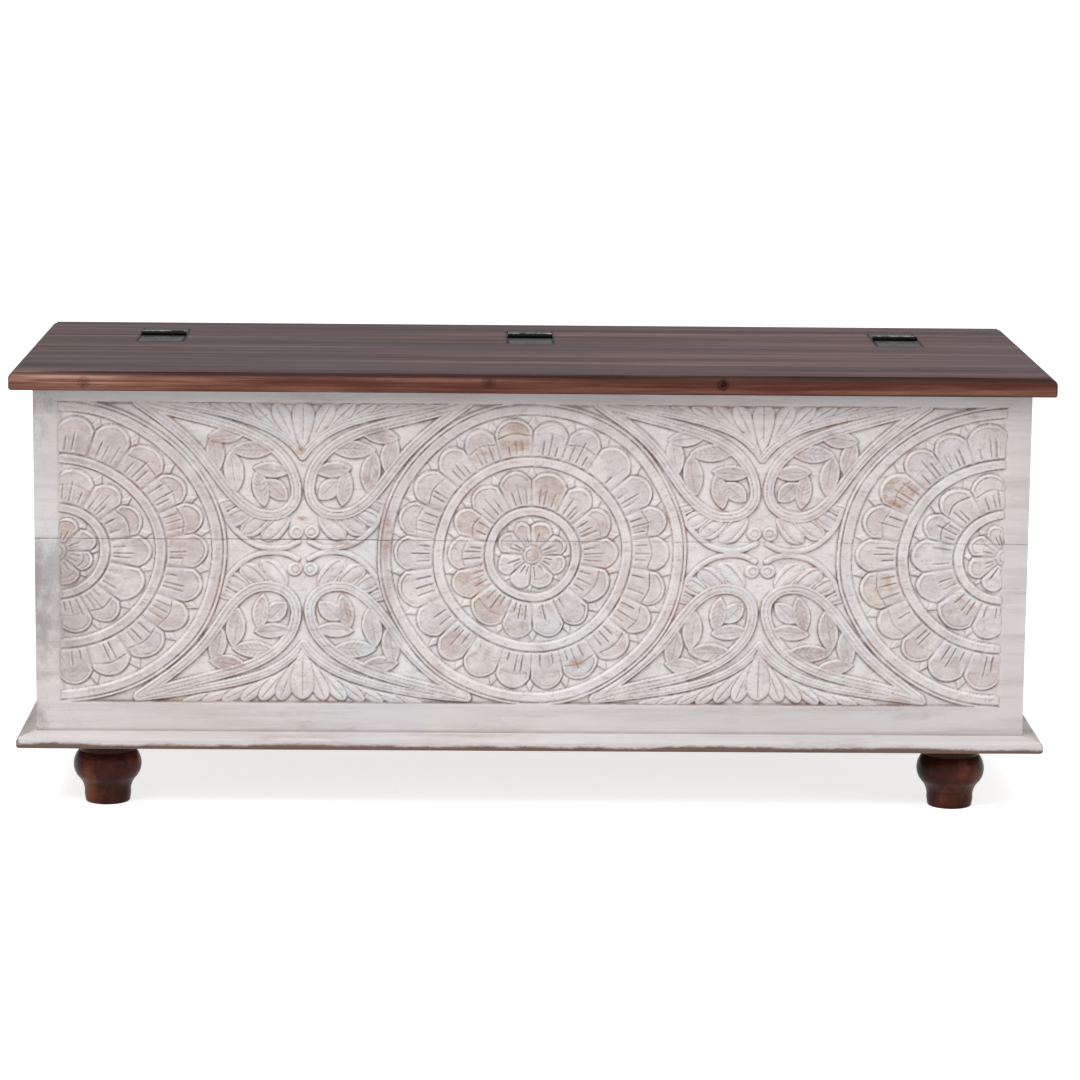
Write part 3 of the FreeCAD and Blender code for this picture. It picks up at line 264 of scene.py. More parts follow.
def brushed_paint(tree):
    """Milky paint with a little of the grain showing."""
    clouds = noise(tree, 8, 6, 0.62)
    tone = ramp(tree, clouds, (0.34, colour(232, 220, 215)), (0.5, colour(240, 235, 232)),
                (0.66, colour(233, 232, 236)))
    grain = noise(tree, 70, 6, 0.65, (0.05, 1, 1))
    return laid(tree, tone, grain, 0.5, 0.8, 0.3, colour(184, 172, 166))


def wiped_paint(tree, paint):
    """The flats were wiped harder than the carving and show greyer, with dirt left in the grain."""
    greyer = ramp(tree, noise(tree, 9, 6, 0.65, (0.22, 1, 1), (1, 5, 3)), (0.3, 0.25), (0.7, 0.85))
    wiped = mixed(tree, greyer, paint, colour(214, 209, 209))
    streaks = noise(tree, 60, 7, 0.7, (0.07, 1, 1), (2, 0, 4))
    wiped = laid(tree, wiped, streaks, 0.48, 0.74, 0.55, colour(168, 156, 151))
    smudges = noise(tree, 20, 7, 0.7, (0.3, 1, 1), (7, 2, 5))
    return laid(tree, wiped, smudges, 0.56, 0.74, 0.55, colour(160, 142, 134))


def paint_on_carving(tree, paint, wiped, thin):
    """The wash over the carving, from the boards' own dirt and painted shade, painted highlight, wear
    and veil, and wiped on the plain border, where field is 0. Gives its colour and how far it is rubbed off."""
    field, dirt_and_shade, painted_highlight, wear, veil = (
        node(tree, "ShaderNodeAttribute", {"attribute_name": key}).outputs["Fac"]
        for key in ("field", "dirt_and_shade", "painted_highlight", "wear", "veil"))
    x, _, height = split(tree, where(tree))
    patches = noise(tree, 34, 6, 0.7, (1, 1, 1), (4, 4, 1))
    paint = laid(tree, paint, patches, 0.44, 0.64, 0.6, colour(202, 190, 188))
    cool_patches = noise(tree, 22, 6, 0.7, (1, 1, 1), (9, 1, 8))
    paint = laid(tree, paint, cool_patches, 0.5, 0.68, 0.5, colour(206, 205, 212))
    strokes = noise(tree, 150, 6, 0.8, (0.45, 1, 1))
    paint = laid(tree, paint, strokes, 0.52, 0.68, 0.55, colour(166, 148, 140))
    smears = ramp(tree, noise(tree, 75, 6, 0.75, (0.8, 1, 1), (6, 2, 1)), (0.38, 0.25), (0.62, 1.0))
    thinned = times(tree, veil, ramp(tree, thin, (0.3, 0.25), (0.65, 1.0)))
    paint = mixed(tree, times(tree, thinned, smears), paint, colour(182, 164, 160))
    # painted highlight: lighter paint on ridges, on the tops of edges and on the sunk ground
    highlight_strokes = times(tree, painted_highlight, ramp(tree, strokes, (0.35, 0.95), (0.65, 0.4)))
    paint = mixed(tree, highlight_strokes, paint, colour(250, 247, 245))
    paint = mixed(tree, field, wiped, paint)
    # dark wax and dirt stay in the cuts, with painted shade, here and there the brown wood shows there
    # instead
    patchy = ramp(tree, noise(tree, 46, 6, 0.75, (1, 1, 1), (2, 6, 2)), (0.32, 0.2), (0.58, 1.0))
    rusty = ramp(tree, noise(tree, 13, 5, 0.65, (1, 1, 1), (5, 3, 9)), (0.46, 0.0), (0.6, 1.0))
    grime_and_shade_colour = mixed(tree, rusty, colour(92, 78, 75), colour(138, 88, 64))
    # grey-brown dirt and painted shade in the cuts
    paint = mixed(tree, times(tree, dirt_and_shade, patchy), paint, grime_and_shade_colour)
    # the left end has been handled most: grey smudges on its plain border, most at half height
    leftmost = graded(tree, x, -0.46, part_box("front_board_lower")[0].x, 0.0, 0.8)
    waist = graded(tree, off(tree, height, 0.225), 0.02, 0.09, 0.16, 0.0)
    blotches = math_node(tree, "ADD", waist, noise(tree, 19, 8, 0.78, (1, 1, 0.7), (6, 3, 2)))
    handled = ramp(tree, blotches, (0.5, 0.0), (0.68, 0.9))
    paint = mixed(tree, times(tree, leftmost, handled), paint, colour(138, 126, 130))
    # the middle glue line shows dark and fades to the right
    seam = graded(tree, off(tree, height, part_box("front_board_lower")[1].z), 0.0003, 0.0010, 0.7, 0.0)
    seam = times(tree, seam, graded(tree, x, -0.1, 0.15, 1.0, 0.35))
    seam = times(tree, seam, ramp(tree, thin, (0.4, 0.15), (0.6, 1.0)))
    paint = mixed(tree, seam, paint, colour(104, 84, 76))
    # where the paint is rubbed off, the wood shows in flecks
    broken = ramp(tree, noise(tree, 70, 6, 0.8, (0.5, 1, 1), (1, 1, 6)), (0.36, 0.0), (0.6, 1.0))
    spots = math_node(tree, "ADD", wear, ramp(tree, thin, (0.35, 0.0), (0.75, 0.4)))
    worn = times(tree, ramp(tree, spots, (0.55, 0.0), (1.0, 0.9)), broken)
    flecks = ramp(tree, noise(tree, 120, 6, 0.8, (0.6, 1, 1), (8, 1, 6)), (0.38, 0.25), (0.56, 1.0))
    return paint, times(tree, worn, flecks)


def whitewash(name, carved=False, lip=False, turned=False):
    """Whitewash; carved is for the carved boards, lip for the base boards with their worn lower
    edge, turned for boards that run from front to back."""
    made, tree, shader = finish(name, 0.6, 0.3)
    tree["turned"] = turned
    paint = brushed_paint(tree)
    wiped = wiped_paint(tree, paint)
    thin = noise(tree, 16, 6, 0.7, (0.5, 1, 1), (3, 1, 2))
    brown = mixed(tree, noise(tree, 90, 4, 0.6, (0.1, 1, 1)), colour(152, 106, 80), colour(192, 150, 122))
    if carved:
        paint, rubbed = paint_on_carving(tree, paint, wiped, thin)
    elif lip:
        paint, rubbed, brown = paint_on_base(tree, wiped, turned)
    else:
        paint, rubbed = wiped, ramp(tree, thin, (0.66, 0.0), (0.78, 0.6))
    paint = mixed(tree, rubbed, paint, brown)
    if not lip:
        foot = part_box("back_panel")[0].z
        foot_line = graded(tree, split(tree, where(tree))[2], foot + 0.0005, foot + 0.004, 0.45, 0.0)
        paint = mixed(tree, foot_line, paint, colour(138, 124, 118))
        paint = mixed(tree, inside_of_box(tree), paint, bare_wood_colour(tree))
    tree.links.new(paint, shader.inputs["Base Color"])
    bumped(tree, shader, noise(tree, 240, 4, 0.6, (0.12, 1, 1)), 0.25, 0.0006)
    return made


# The relief is worked out on a fine grid in millimetres, X to the right and Z up, and the boards
# take it over. The field goes from its foot to its top and as far to each side; the medallions
# stand at its middle height, and each group of leafy loops about its own two axes.
FIELD_X = 504.0
FIELD_FOOT, FIELD_TOP = 115.0, 440.0
GROUND = -4.0
STEP = 0.6
MIDDLE_Z = (FIELD_FOOT + FIELD_TOP) / 2
MEDALLION = 164.8
GROUP_X, GROUP_Z = 243.0, 280.5
columns = np.arange(-FIELD_X - 1, FIELD_X + 1, STEP)
rows = np.arange(FIELD_FOOT - 1, FIELD_TOP + 1, STEP)
X, Z = np.meshgrid(columns, rows)
# the carver's hand: lines wander by about a millimetre
X = X + 0.7 * np.sin(Z / 19 + 1.3) + 0.5 * np.sin(X / 27 + Z / 41)
Z = Z + 0.6 * np.sin(X / 23 + 0.4) + 0.4 * np.sin(X / 57 - Z / 17)
relief = np.full(X.shape, GROUND)
leafy = np.zeros(X.shape)
bare = np.zeros(X.shape)
chance = random.Random(7)


def eased(t):
    """0 below 0, 1 past 1, and a soft rise between them."""
    t = np.clip(t, 0, 1)
    return t * t * (3 - 2 * t)


def window(low_x, high_x, low_z, high_z, margin=8):
    """The block of the grid round a shape."""
    c = np.searchsorted(columns, (low_x - margin, high_x + margin))
    r = np.searchsorted(rows, (low_z - margin, high_z + margin))
    return slice(r[0], r[1]), slice(c[0], c[1])


def raise_to(part, inside, top, wall=1.6):
    """Leave a form standing: inside is the distance inwards from its edge."""
    pad = GROUND + (top - GROUND) * eased(inside / wall + 0.5)
    relief[part] = np.maximum(relief[part], np.where(inside > -wall, pad, GROUND))


def line_cut(part, away, half, depth):
    """Cut a V line."""
    relief[part] -= depth * np.clip(1 - np.abs(away) / half, 0, 1)


def smooth_path(points, per=8):
    """A smooth curve through points, per steps from one to the next."""
    p = np.array(points, float)
    out = []
    for i in range(len(p) - 1):
        a, b, c, d = p[max(i - 1, 0)], p[i], p[i + 1], p[min(i + 2, len(p) - 1)]
        for k in range(per):
            t = k / per
            out.append(0.5 * (2 * b + (c - a) * t + (2 * a - 5 * b + 4 * c - d) * t * t
                              + (3 * b - a - 3 * c + d) * t ** 3))
    out.append(p[-1])
    return np.array(out)


def path_distance(path, reach=9.0):
    """Distance of every sample within reach from a path."""
    away = np.full(X.shape, 99.0)
    for (ax, az), (bx, bz) in zip(path[:-1], path[1:]):
        part = window(min(ax, bx), max(ax, bx), min(az, bz), max(az, bz), reach)
        x, z = X[part] - ax, Z[part] - az
        dx, dz = bx - ax, bz - az
        t = np.clip((x * dx + z * dz) / (dx * dx + dz * dz + 1e-9), 0, 1)
        away[part] = np.minimum(away[part], np.hypot(x - t * dx, z - t * dz))
    return away


def band(points, half=5.6, top=-0.4):
    """A raised band with a line along each side of its rounded middle."""
    path = smooth_path(points)
    away = path_distance(path)
    lows, highs = path.min(0), path.max(0)
    part = window(lows[0], highs[0], lows[1], highs[1])
    raise_to(part, half - away[part], top)
    line_cut(part, away[part] - half * 0.42, 0.9, 0.55)


def on_leaf(base, tip, half):
    """The block of the grid round a leaf and, there, how far along the leaf a sample lies as a share
    of its length, how far beside its midrib, and how far past an end, below 0; then its length."""
    base, tip = np.array(base, float), np.array(tip, float)
    length = math.hypot(*(tip - base))
    ux, uz = (tip - base) / length
    low, high = np.minimum(base, tip), np.maximum(base, tip)
    part = window(low[0], high[0], low[1], high[1], half + 3)
    x, z = X[part] - base[0], Z[part] - base[1]
    along = (x * ux + z * uz) / length
    across = z * ux - x * uz
    beyond = np.where(along < 0, -along, along - 1) * length
    return part, along, across, -np.hypot(across, beyond), length


def leaf(base, tip, half, top=-0.8, vein=0.7, widest=0.42, point=1.6):
    """A leaf from base to tip with a rounded heel, a pointed tip and a vein."""
    part, along, across, past, _ = on_leaf(base, tip, half)
    a = np.clip(along, 0, 1)
    heel = np.sqrt(np.clip(1 - (1 - np.minimum(a / widest, 1)) ** 2, 0, 1))
    narrowing = 1 - (np.clip(a - widest, 0, 1) / (1 - widest)) ** point
    inside = half * heel * narrowing - np.abs(across)
    inside = np.where((along < 0) | (along > 1), past, inside * 0.9)
    dome = 0.7 * (1 - eased(inside / 4.5))
    pad = GROUND + (top - dome - GROUND) * eased(inside / 1.5 + 0.5)
    if vein:
        rib = np.clip(1 - np.abs(across) / 1.0, 0, 1) * eased((along - 0.02) * 12) * eased((0.8 - along) * 6)
        pad = pad - vein * rib * (inside > 0)
    # where leaves lie over each other the upper keeps a V against the lower
    under = relief[part]
    edge = 0.9 * np.clip(1 - np.abs(inside - 0.2) / 1.1, 0, 1)
    under = np.maximum(under - edge * (under > GROUND + 1.0), np.where(inside > -1.5, pad, GROUND))
    relief[part] = np.where(inside > 0, pad, under)


def blade(base, tip, half, hatch):
    """A leaf pointed at both ends that stands alone on the ground, its blade hollowed, with a vein
    and, where hatch is above 0, slanting cuts."""
    part, along, across, past, length = on_leaf(base, tip, half)
    a = np.clip(along, 0, 1)
    shape = (4 * a * (1 - a)) ** 0.85
    inside = np.where((along < 0) | (along > 1), past, (half * shape - np.abs(across)) * 0.88)
    pad = GROUND + (-0.7 - GROUND) * eased(inside / 1.2 + 0.5)
    pad = pad - 0.55 * eased((inside - 1.2) / 3.0)
    rib = np.clip(1 - np.abs(across + 0.08 * half) / 0.95, 0, 1)
    rib = rib * eased((along - 0.12) * 9) * eased((0.82 - along) * 9)
    pad = pad - 0.6 * rib * (inside > 0)
    if hatch:
        spacing = 5.4
        slant = (along * length + np.abs(across) * 0.9) / spacing
        cuts = np.clip(1 - np.abs(slant - np.floor(slant) - 0.5) * spacing / 0.9, 0, 1)
        pad = pad - hatch * cuts * eased((inside - 0.8) / 1.2) * (np.abs(across) > 1.2)
    round_it = np.maximum(relief[part], np.where(inside > -1.4, pad, GROUND))
    relief[part] = np.where(inside > 0, pad, round_it)
    leafy[part] = np.maximum(leafy[part], chance.uniform(0.6, 1.7) * eased(inside))


def petal_ring(part, r, a, root, tip, count, strokes):
    """Petals round a medallion: rounded tips, a V line between two, scoop lines and gouge strokes.
    They are set out by eye, so no two are quite alike."""
    def each(low, high):
        """One chosen value for every petal, at the samples on it."""
        return np.array([chance.uniform(low, high) for _ in range(count)])[number]

    turn = a * count / (2 * np.pi) + 0.06 * np.sin(3 * a + tip) + 0.045 * np.sin(7 * a + 2 * tip)
    number = np.floor(turn).astype(int) % count
    t = turn - np.floor(turn) - 0.5
    width = 2 * np.pi * r / count
    across = t * width
    tip_half = np.pi * tip / count
    reach = each(-1.9, 1.4)
    sunk = each(0, 0.55)
    shaded = each(0.1, 1.1)
    bared = np.maximum(0, each(-0.95, 1.25))
    twice = np.maximum(0, each(-0.4, 1.0))
    barred = np.maximum(0, each(-0.6, 1.0))
    bar_r = root + (tip - root) * each(0.42, 0.62)
    tip_r = tip + reach
    round_r = tip_half * 0.98
    side = width / 2 - np.abs(across)
    ahead = r - (tip_r - round_r)
    inside = np.where(ahead > 0, np.minimum(side, round_r - np.hypot(across, ahead)), side)
    zone = (r > root) & (r < tip + 3.2)
    # pointed sepals stand behind the tips
    between = (0.5 - np.abs(t)) * width
    sepal = (tip + 1.0 - r) * 0.5 - between + 1.0
    behind = GROUND + 0.3 + 2.2 * eased(sepal / 1.6 + 0.3)
    petal = -0.45 - sunk - 0.9 * (1 - eased(inside / 3.2))
    # the scooped tip with its second outline
    scoop = eased((r - (root + (tip - root) * 0.45)) / 6)
    petal -= (0.35 + 0.45 * shaded) * scoop * eased((inside - 3.0 - sunk) / 1.3)
    # the root half is fluted by the gouge
    flutes = 0.5 - 0.5 * np.cos(2 * np.pi * (t + 0.5) * len(strokes) + 0.6 * np.sin(number * 2.4))
    petal -= 0.5 * (1 - flutes) * eased((root + (tip - root) * 0.6 - r) / 9) * eased(inside / 2.5)
    form = np.where(inside > 0, petal, behind)
    # the line between two petals is deep at the tips and runs out towards the root
    keen = 0.3 + 0.8 * eased((r - root) / (tip - root) * 2.4 - 0.7)
    form -= 1.8 * keen * np.clip(1 - np.abs(inside) / 1.25, 0, 1)
    # some tips are outlined twice, some petals have a bar cut across where two tools met
    at_tip = eased((r - root) / (tip - root) * 3 - 1.4)
    form -= 1.5 * twice * at_tip * np.clip(1 - np.abs(inside - 3.6 - sunk) / 0.9, 0, 1)
    bar = np.abs(r - bar_r - 1.5 * np.cos(2 * np.pi * t) + 0.06 * across * np.sin(number * 5.1))
    form -= 1.5 * barred * np.clip(1 - bar / 0.9, 0, 1) * eased((inside - 0.8) / 2)
    cheek = zone * eased((inside - 1.2) / 2.5)
    leafy[part] = np.maximum(leafy[part], 0.68 * shaded * cheek)
    bared = bared * cheek * eased((r - root - 2) / 6) * eased((tip - 3 - r) / 6 + 0.4)
    bare[part] = np.maximum(bare[part], bared)
    for place, share in strokes:
        jitter = each(-0.05, 0.05)
        longer = each(-0.15, 0.12)
        kept = np.array([chance.random() > 0.12 for _ in range(count)])[number]
        end = root + (tip - root) * (share + longer)
        fade = eased((end - r) / 5) * eased((r - root - 1) / 2)
        beside = (t - place - jitter) * width
        form -= 1.3 * kept * np.clip(1 - np.abs(beside) / 1.05, 0, 1) * fade
        form += 0.4 * kept * np.clip(1 - np.abs(beside - 1.9) / 1.0, 0, 1) * fade
    return zone, form


# gouge strokes on a petal: the place across it and the share of its length
THREE_STROKES = ((-0.22, 0.5), (0.02, 0.62), (0.24, 0.5))
TWO_STROKES = ((-0.16, 0.55), (0.17, 0.6))
# rings of petals: radius of the roots, radius of the tips, how many, and their strokes
PETALS = ((106.5, 146.5, 22, THREE_STROKES), (53.0, 91.5, 14, THREE_STROKES), (11.0, 39.0, 8, TWO_STROKES))
# the raised rings are flat bands between a deep line and a finer one: radius, half width, depth
RING_LINES = ((150.2, 1.6, 1.5), (160.4, 1.3, 1.5), (105.3, 1.9, 2.6), (94.8, 1.3, 1.3), (51.6, 1.9, 2.6),
              (40.6, 1.3, 1.6), (10.3, 1.5, 1.8), (6.3, 1.0, 0.8))
# and are a little hollow: radius, half width, depth
RING_HOLLOWS = ((100.0, 4.6, 0.6), (46.0, 4.6, 0.5), (155.3, 4.4, 0.45))


def medallion(centre, stretch):
    """One medallion: three rings of petals between raised rings, a boss and an outer bead; stretch
    widens it."""
    reach = MEDALLION + 1.2
    part = window(centre - reach * stretch, centre + reach * stretch, MIDDLE_Z - reach, MIDDLE_Z + reach)
    x, z = (X[part] - centre) / stretch, Z[part] - MIDDLE_Z
    r, a = np.hypot(x, z), np.arctan2(x, z)
    form = np.full(r.shape, -0.35)
    for root, tip, count, strokes in PETALS:
        zone, petals = petal_ring(part, r, a, root, tip, count, strokes)
        form = np.where(zone, petals, form)
    for radius, half, depth in RING_LINES:
        form -= depth * np.clip(1 - np.abs(r - radius) / half, 0, 1)
    for radius, half, depth in RING_HOLLOWS:
        form -= depth * np.clip(1 - ((r - radius) / half) ** 2, 0, 1)
    boss, bead, bead_half = 9.5, MEDALLION - 2.1, 1.9
    form = np.where(r < boss, form + 0.3 - 0.9 * (r / boss) ** 2, form)
    form = np.where(np.abs(r - bead) < bead_half, form - 0.25 * (r - bead) ** 2 / bead_half, form)
    edge = eased((MEDALLION - r) / 1.4)
    relief[part] = np.where(r < MEDALLION, GROUND + (form - GROUND) * edge, relief[part])


# one quarter of a group of leafy loops, X outwards from the group's upright axis and Z upwards from
# its level one: the band round the loop, the band over it and the short one next to the level axis
LOOP = ((172, 157.5), (150, 151.5), (123, 144.5), (92, 136.5), (64, 127.5), (42, 117), (26, 105), (14, 90),
        (8, 74), (7.5, 60), (12.5, 49), (24, 40.5), (40, 38.5), (54, 42.5), (68, 52.5), (81, 67), (94, 85),
        (107, 102.5), (122, 118.5), (140, 134), (158, 147), (174, 158))
OVER = ((0, 101), (8, 111), (20, 121.5), (36, 131), (55, 138.5), (80, 145.5), (110, 151.5), (140, 156),
        (176, 160))
EDGE = ((85, 46), (79, 31), (69, 18.5), (57, 9), (45, 4), (30, 2.2), (17, 4), (6, 9.5))
# leaves inside the loop and lobes under it: base, tip and half the width
LEAVES = (((39, 76), (17, 55), 10.0), ((48, 86), (41, 47), 9.0), ((53, 88), (13, 84.5), 8.5),
          ((76, 106), (69, 62), 10.5), ((77, 107), (30, 108), 9.5),
          ((96, 123), (88, 84), 9.5), ((101, 120.5), (61, 125.5), 9.0))
LOBES = (((17, 39), (44, 11), 11.5), ((37, 39), (66, 17), 11.0), ((56, 43), (82, 29), 9.5),
         ((70, 52), (93, 44), 6.5))
# half palmettes along the field's top and bottom edges, their points inwards, the middle leaf last
TOP_LEAVES = (((124, 161), (84, 149), 4.5), ((100, 160), (60, 142), 6.0), ((77, 159), (38, 135), 7.0),
              ((54, 158), (20, 124), 8.0), ((30, 158), (6, 112), 9.5), ((0, 161), (0, 103), 12.0))
LOW_LEAVES = (((128, -166), (88, -154), 4.0), ((107, -165), (66, -150), 5.0), ((86, -164), (46, -143), 6.0),
              ((66, -163), (30, -135), 7.0), ((46, -162), (16, -126), 8.0), ((25, -162), (6, -116), 9.0),
              ((0, -161), (0, -100), 13.5))


def spray(axis, side):
    """The scrolls and leaves on one side of a group's axis, above and below."""
    def placed(point, up=1):
        return axis + side * point[0], GROUP_Z + up * point[1]

    for up in (1, -1):
        for count, (base, tip, half) in enumerate(LEAVES):
            blade(placed(base, up), placed(tip, up), half, hatch=0.5 if count % 3 == 1 else 0.0)
        for base, tip, half in LOBES:
            leaf(placed(base, up), placed(tip, up), half, vein=0.7, widest=0.6, point=2.4, top=-0.8)
            leaf(placed(base, up), placed(tip, up), half * 0.55, vein=0, widest=0.6, point=2.4, top=-1.0)
    for base, tip, half in TOP_LEAVES + LOW_LEAVES:
        if base[0] == 0 and side < 0:
            continue
        leaf(placed(base), placed(tip), half, vein=0.8, widest=0.3, point=1.5, top=-0.8)
    for up in (1, -1):
        band([placed(point, up) for point in EDGE], half=2.8, top=-0.7)
        band([placed(point, up) for point in OVER], half=4.6, top=-0.7)
        band([placed(point, up) for point in LOOP])
        # a curled bud between the loops
        x, z = placed((8.5, 20), up)
        part = window(x - 9, x + 9, z - 9, z + 9)
        r = np.hypot(X[part] - x, Z[part] - z)
        raise_to(part, 7.4 - r, -1.1)
        line_cut(part, r - 3.6 + 0.25 * (X[part] - x) * side, 1.0, 0.8)


def soften(field, radius):
    """Wear and paint round off everything smaller than radius."""
    count = int(radius / STEP * 1.5) + 1
    weights = np.exp(-((np.arange(-count, count + 1) * STEP / radius) ** 2))
    weights /= weights.sum()
    for axis in (0, 1):
        wide = np.pad(field, [(count, count) if i == axis else (0, 0) for i in (0, 1)], mode="edge")
        size = field.shape[axis]
        field = sum(w * np.take(wide, range(i, i + size), axis) for i, w in enumerate(weights))
    return field


for axis in (-GROUP_X, GROUP_X):
    for side in (-1, 1):
        spray(axis, side)
for centre, stretch in ((0.0, 1.0), (-FIELD_X, 1.10), (FIELD_X, 1.10)):
    medallion(centre, stretch)
# where the gouge slipped or stopped it left nicks, most along the petals, one in five across them
NICKS = 2600
for _ in range(NICKS):
    x, z = chance.uniform(4 - FIELD_X, FIELD_X - 4), chance.uniform(FIELD_FOOT + 3, FIELD_TOP - 3)
    near = min((-FIELD_X, 0.0, FIELD_X), key=lambda middle: abs(x - middle))
    turn = math.atan2(z - MIDDLE_Z, x - near) + chance.gauss(0, 0.25) + math.pi / 2 * (chance.random() < 0.2)
    length, depth = chance.uniform(1.5, 6.0), chance.uniform(0.1, 0.55)
    part = window(x - length, x + length, z - length, z + length, 2)
    along = (X[part] - x) * math.cos(turn) + (Z[part] - z) * math.sin(turn)
    beside = (Z[part] - z) * math.cos(turn) - (X[part] - x) * math.sin(turn)
    relief[part] -= depth * np.clip(1 - np.abs(beside) / 0.8, 0, 1) * np.clip(1 - (along / length) ** 2, 0, 1)
relief = soften(relief, radius=0.62)
# the field's floor runs out towards the sides and the top, and is cut sharp along the bottom
SIDE_RUN_OUT, TOP_RUN_OUT, SHARP, DEEPEST = 11, 6, 2, -4.5
from_side, from_top = FIELD_X - np.abs(columns)[None, :], (FIELD_TOP - rows)[:, None]
inwards = np.minimum(from_side, np.minimum(from_top, (rows - FIELD_FOOT)[:, None]))
runs_out = np.minimum(from_side / SIDE_RUN_OUT, from_top / TOP_RUN_OUT)
deepest = DEEPEST * eased(np.minimum(inwards / SHARP, runs_out))
relief = np.where(inwards > 0, np.maximum(relief, deepest), 0.0)
# dirt and painted shade darken lines and narrow cuts, and a deep step gets no more of it than a fine line
evened = -1.8 * (1 - np.exp(relief / 1.8))
narrow, broad = soften(evened, radius=0.95) - evened, soften(relief, radius=3.0) - relief
dirt_and_shade = np.clip(4.2 * narrow / 0.4 + 0.12 * broad - 0.12, 0, 1)
painted_highlight = np.clip((relief - soften(relief, radius=1.8)) / 0.5, 0, 1)
# painted shade under every edge, as from a light above; a painted highlight on top of one and on the open
# ground
upward = np.gradient(relief, STEP, axis=0)
on_top = np.clip(-upward / 1.1, 0, 1)
dirt_and_shade = np.clip(dirt_and_shade + 0.55 * np.clip(upward, 0, 1) - 0.25 * on_top, 0, 1)
painted_highlight = np.clip(painted_highlight + 0.5 * on_top + 0.6 * eased((-3.1 - relief) / 0.7), 0, 1)
# places where hands and cloths have rubbed the paint back to the wood: X, Z, width, height, how far
RUBBED = ((-155, 300, 7, 34, 0.9), (-152, 235, 6, 26, 0.8), (0, 278, 14, 14, 0.6), (-28, 300, 20, 10, 0.6),
          (-10, 352, 30, 12, 0.6), (75, 315, 22, 16, 0.5), (48, 160, 16, 12, 0.7), (-318, 318, 9, 6, 0.9),
          (-245, 315, 8, 4, 0.9), (-200, 285, 14, 5, 0.8), (-335, 398, 26, 14, 0.5), (-120, 330, 20, 8, 0.7),
          (-60, 400, 30, 22, 0.4), (-372, 290, 20, 40, 0.4), (-440, 300, 40, 50, 0.3), (-245, 388, 6, 6, 0.9))
# places where the paint is thinner and greyer, in the same terms
THIN = ((-470, 300, 100, 170, 1.2), (-360, 330, 60, 90, 0.8), (-150, 380, 60, 60, 0.6),
        (-40, 400, 70, 40, 0.5), (0, 290, 70, 60, 0.35), (-156, 270, 16, 100, 0.8), (330, 360, 40, 60, 0.5),
        (500, 420, 60, 40, 0.6), (380, 300, 50, 60, 0.3), (-340, 395, 28, 22, 0.8))


def patches_at(places):
    """Soft patches on the field."""
    field = np.zeros(relief.shape)
    for x, z, wide, high, much in places:
        field = np.maximum(field, much * np.exp(-(((X - x) / wide) ** 2 + ((Z - z) / high) ** 2)))
    return field


wear = patches_at(RUBBED) + 0.25 * np.clip((relief - soften(relief, radius=2.4)) / 0.6, 0, 1)
wear = np.maximum(wear, 0.7 * bare)
veil = np.maximum(patches_at(THIN), 0.8 * leafy)


def on_grid(field, x, z):
    """A field of the carving at any places, 0 outside it."""
    c, r = (x - columns[0]) / STEP, (z - rows[0]) / STEP
    inside = (c > 0) & (r > 0) & (c < len(columns) - 1) & (r < len(rows) - 1)
    c, r = np.clip(c, 0, len(columns) - 1.001), np.clip(r, 0, len(rows) - 1.001)
    i, j = c.astype(int), r.astype(int)
    c, r = c - i, r - j
    value = ((field[j, i] * (1 - c) + field[j, i + 1] * c) * (1 - r)
             + (field[j + 1, i] * (1 - c) + field[j + 1, i + 1] * c) * r)
    return np.where(inside, value, 0.0)


def carved_board(name, low_gap, high_gap):
    """One board of the front: a fine grid carved by the relief, closed by flat edges and a back.
    The gaps say how far its lower and upper arris are broken along the glue line, in mm."""
    low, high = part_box(name)
    pitch = 0.00112
    shape = bmesh.new()
    across = round((high.x - low.x) / pitch)
    arris = 0.00035
    count = round((high.z - low.z - 2 * arris) / pitch) + 2
    bmesh.ops.create_grid(shape, x_segments=across, y_segments=count, size=0.5)
    levels = [low.z] + list(np.linspace(low.z + arris, high.z - arris, count - 1)) + [high.z]
    for vert in shape.verts:
        step = round((vert.co.y + 0.5) * count)
        vert.co = Vector((low.x + (vert.co.x + 0.5) * (high.x - low.x), low.y, levels[step]))
    bmesh.ops.recalc_face_normals(shape, faces=shape.faces)
    if shape.faces[0].normal.y > 0:
        bmesh.ops.reverse_faces(shape, faces=shape.faces)
    for face in shape.faces:
        face.smooth = True
    rim = [edge for edge in shape.edges if edge.is_boundary]
    for edge in rim:
        edge.smooth = False
    grown = bmesh.ops.extrude_edge_only(shape, edges=rim)["geom"]
    back = [item for item in grown if isinstance(item, bmesh.types.BMVert)]
    for vert in back:
        vert.co.y = high.y
    same = 1e-6
    spare = [vert for vert in back if min(vert.co.x - low.x, high.x - vert.co.x) > same
             or min(vert.co.z - low.z, high.z - vert.co.z) > same]
    bmesh.ops.dissolve_verts(shape, verts=spare)
    bmesh.ops.edgeloop_fill(shape, edges=[edge for edge in shape.edges if edge.is_boundary])
    board = stand(shape, name + "_carved")
    mesh = board.data
    places = np.zeros(len(mesh.vertices) * 3)
    mesh.vertices.foreach_get("co", places)
    places = places.reshape(-1, 3)
    front = places[:, 1] < low.y + same
    x, z = places[:, 0] * 1000, places[:, 2] * 1000
    depth = -on_grid(relief, x, z)
    for level, gap in ((low.z, low_gap), (high.z, high_gap)):
        depth = depth + np.where(np.abs(places[:, 2] - level) < same, gap, 0)
    places[:, 1] = np.where(front, low.y + depth / 1000, places[:, 1])
    mesh.vertices.foreach_set("co", places.ravel())
    carved = {"dirt_and_shade": dirt_and_shade, "painted_highlight": painted_highlight, "wear": wear, "veil": veil, "field": eased(inwards / 10)}
    for key, field in carved.items():
        values = np.where(front, on_grid(field, x, z), 0)
        mesh.attributes.new(key, "FLOAT", "POINT").data.foreach_set("value", values)
    mesh.update()
    mesh.materials.append(carved_paint)
    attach(board, "chest")
    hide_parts(name)


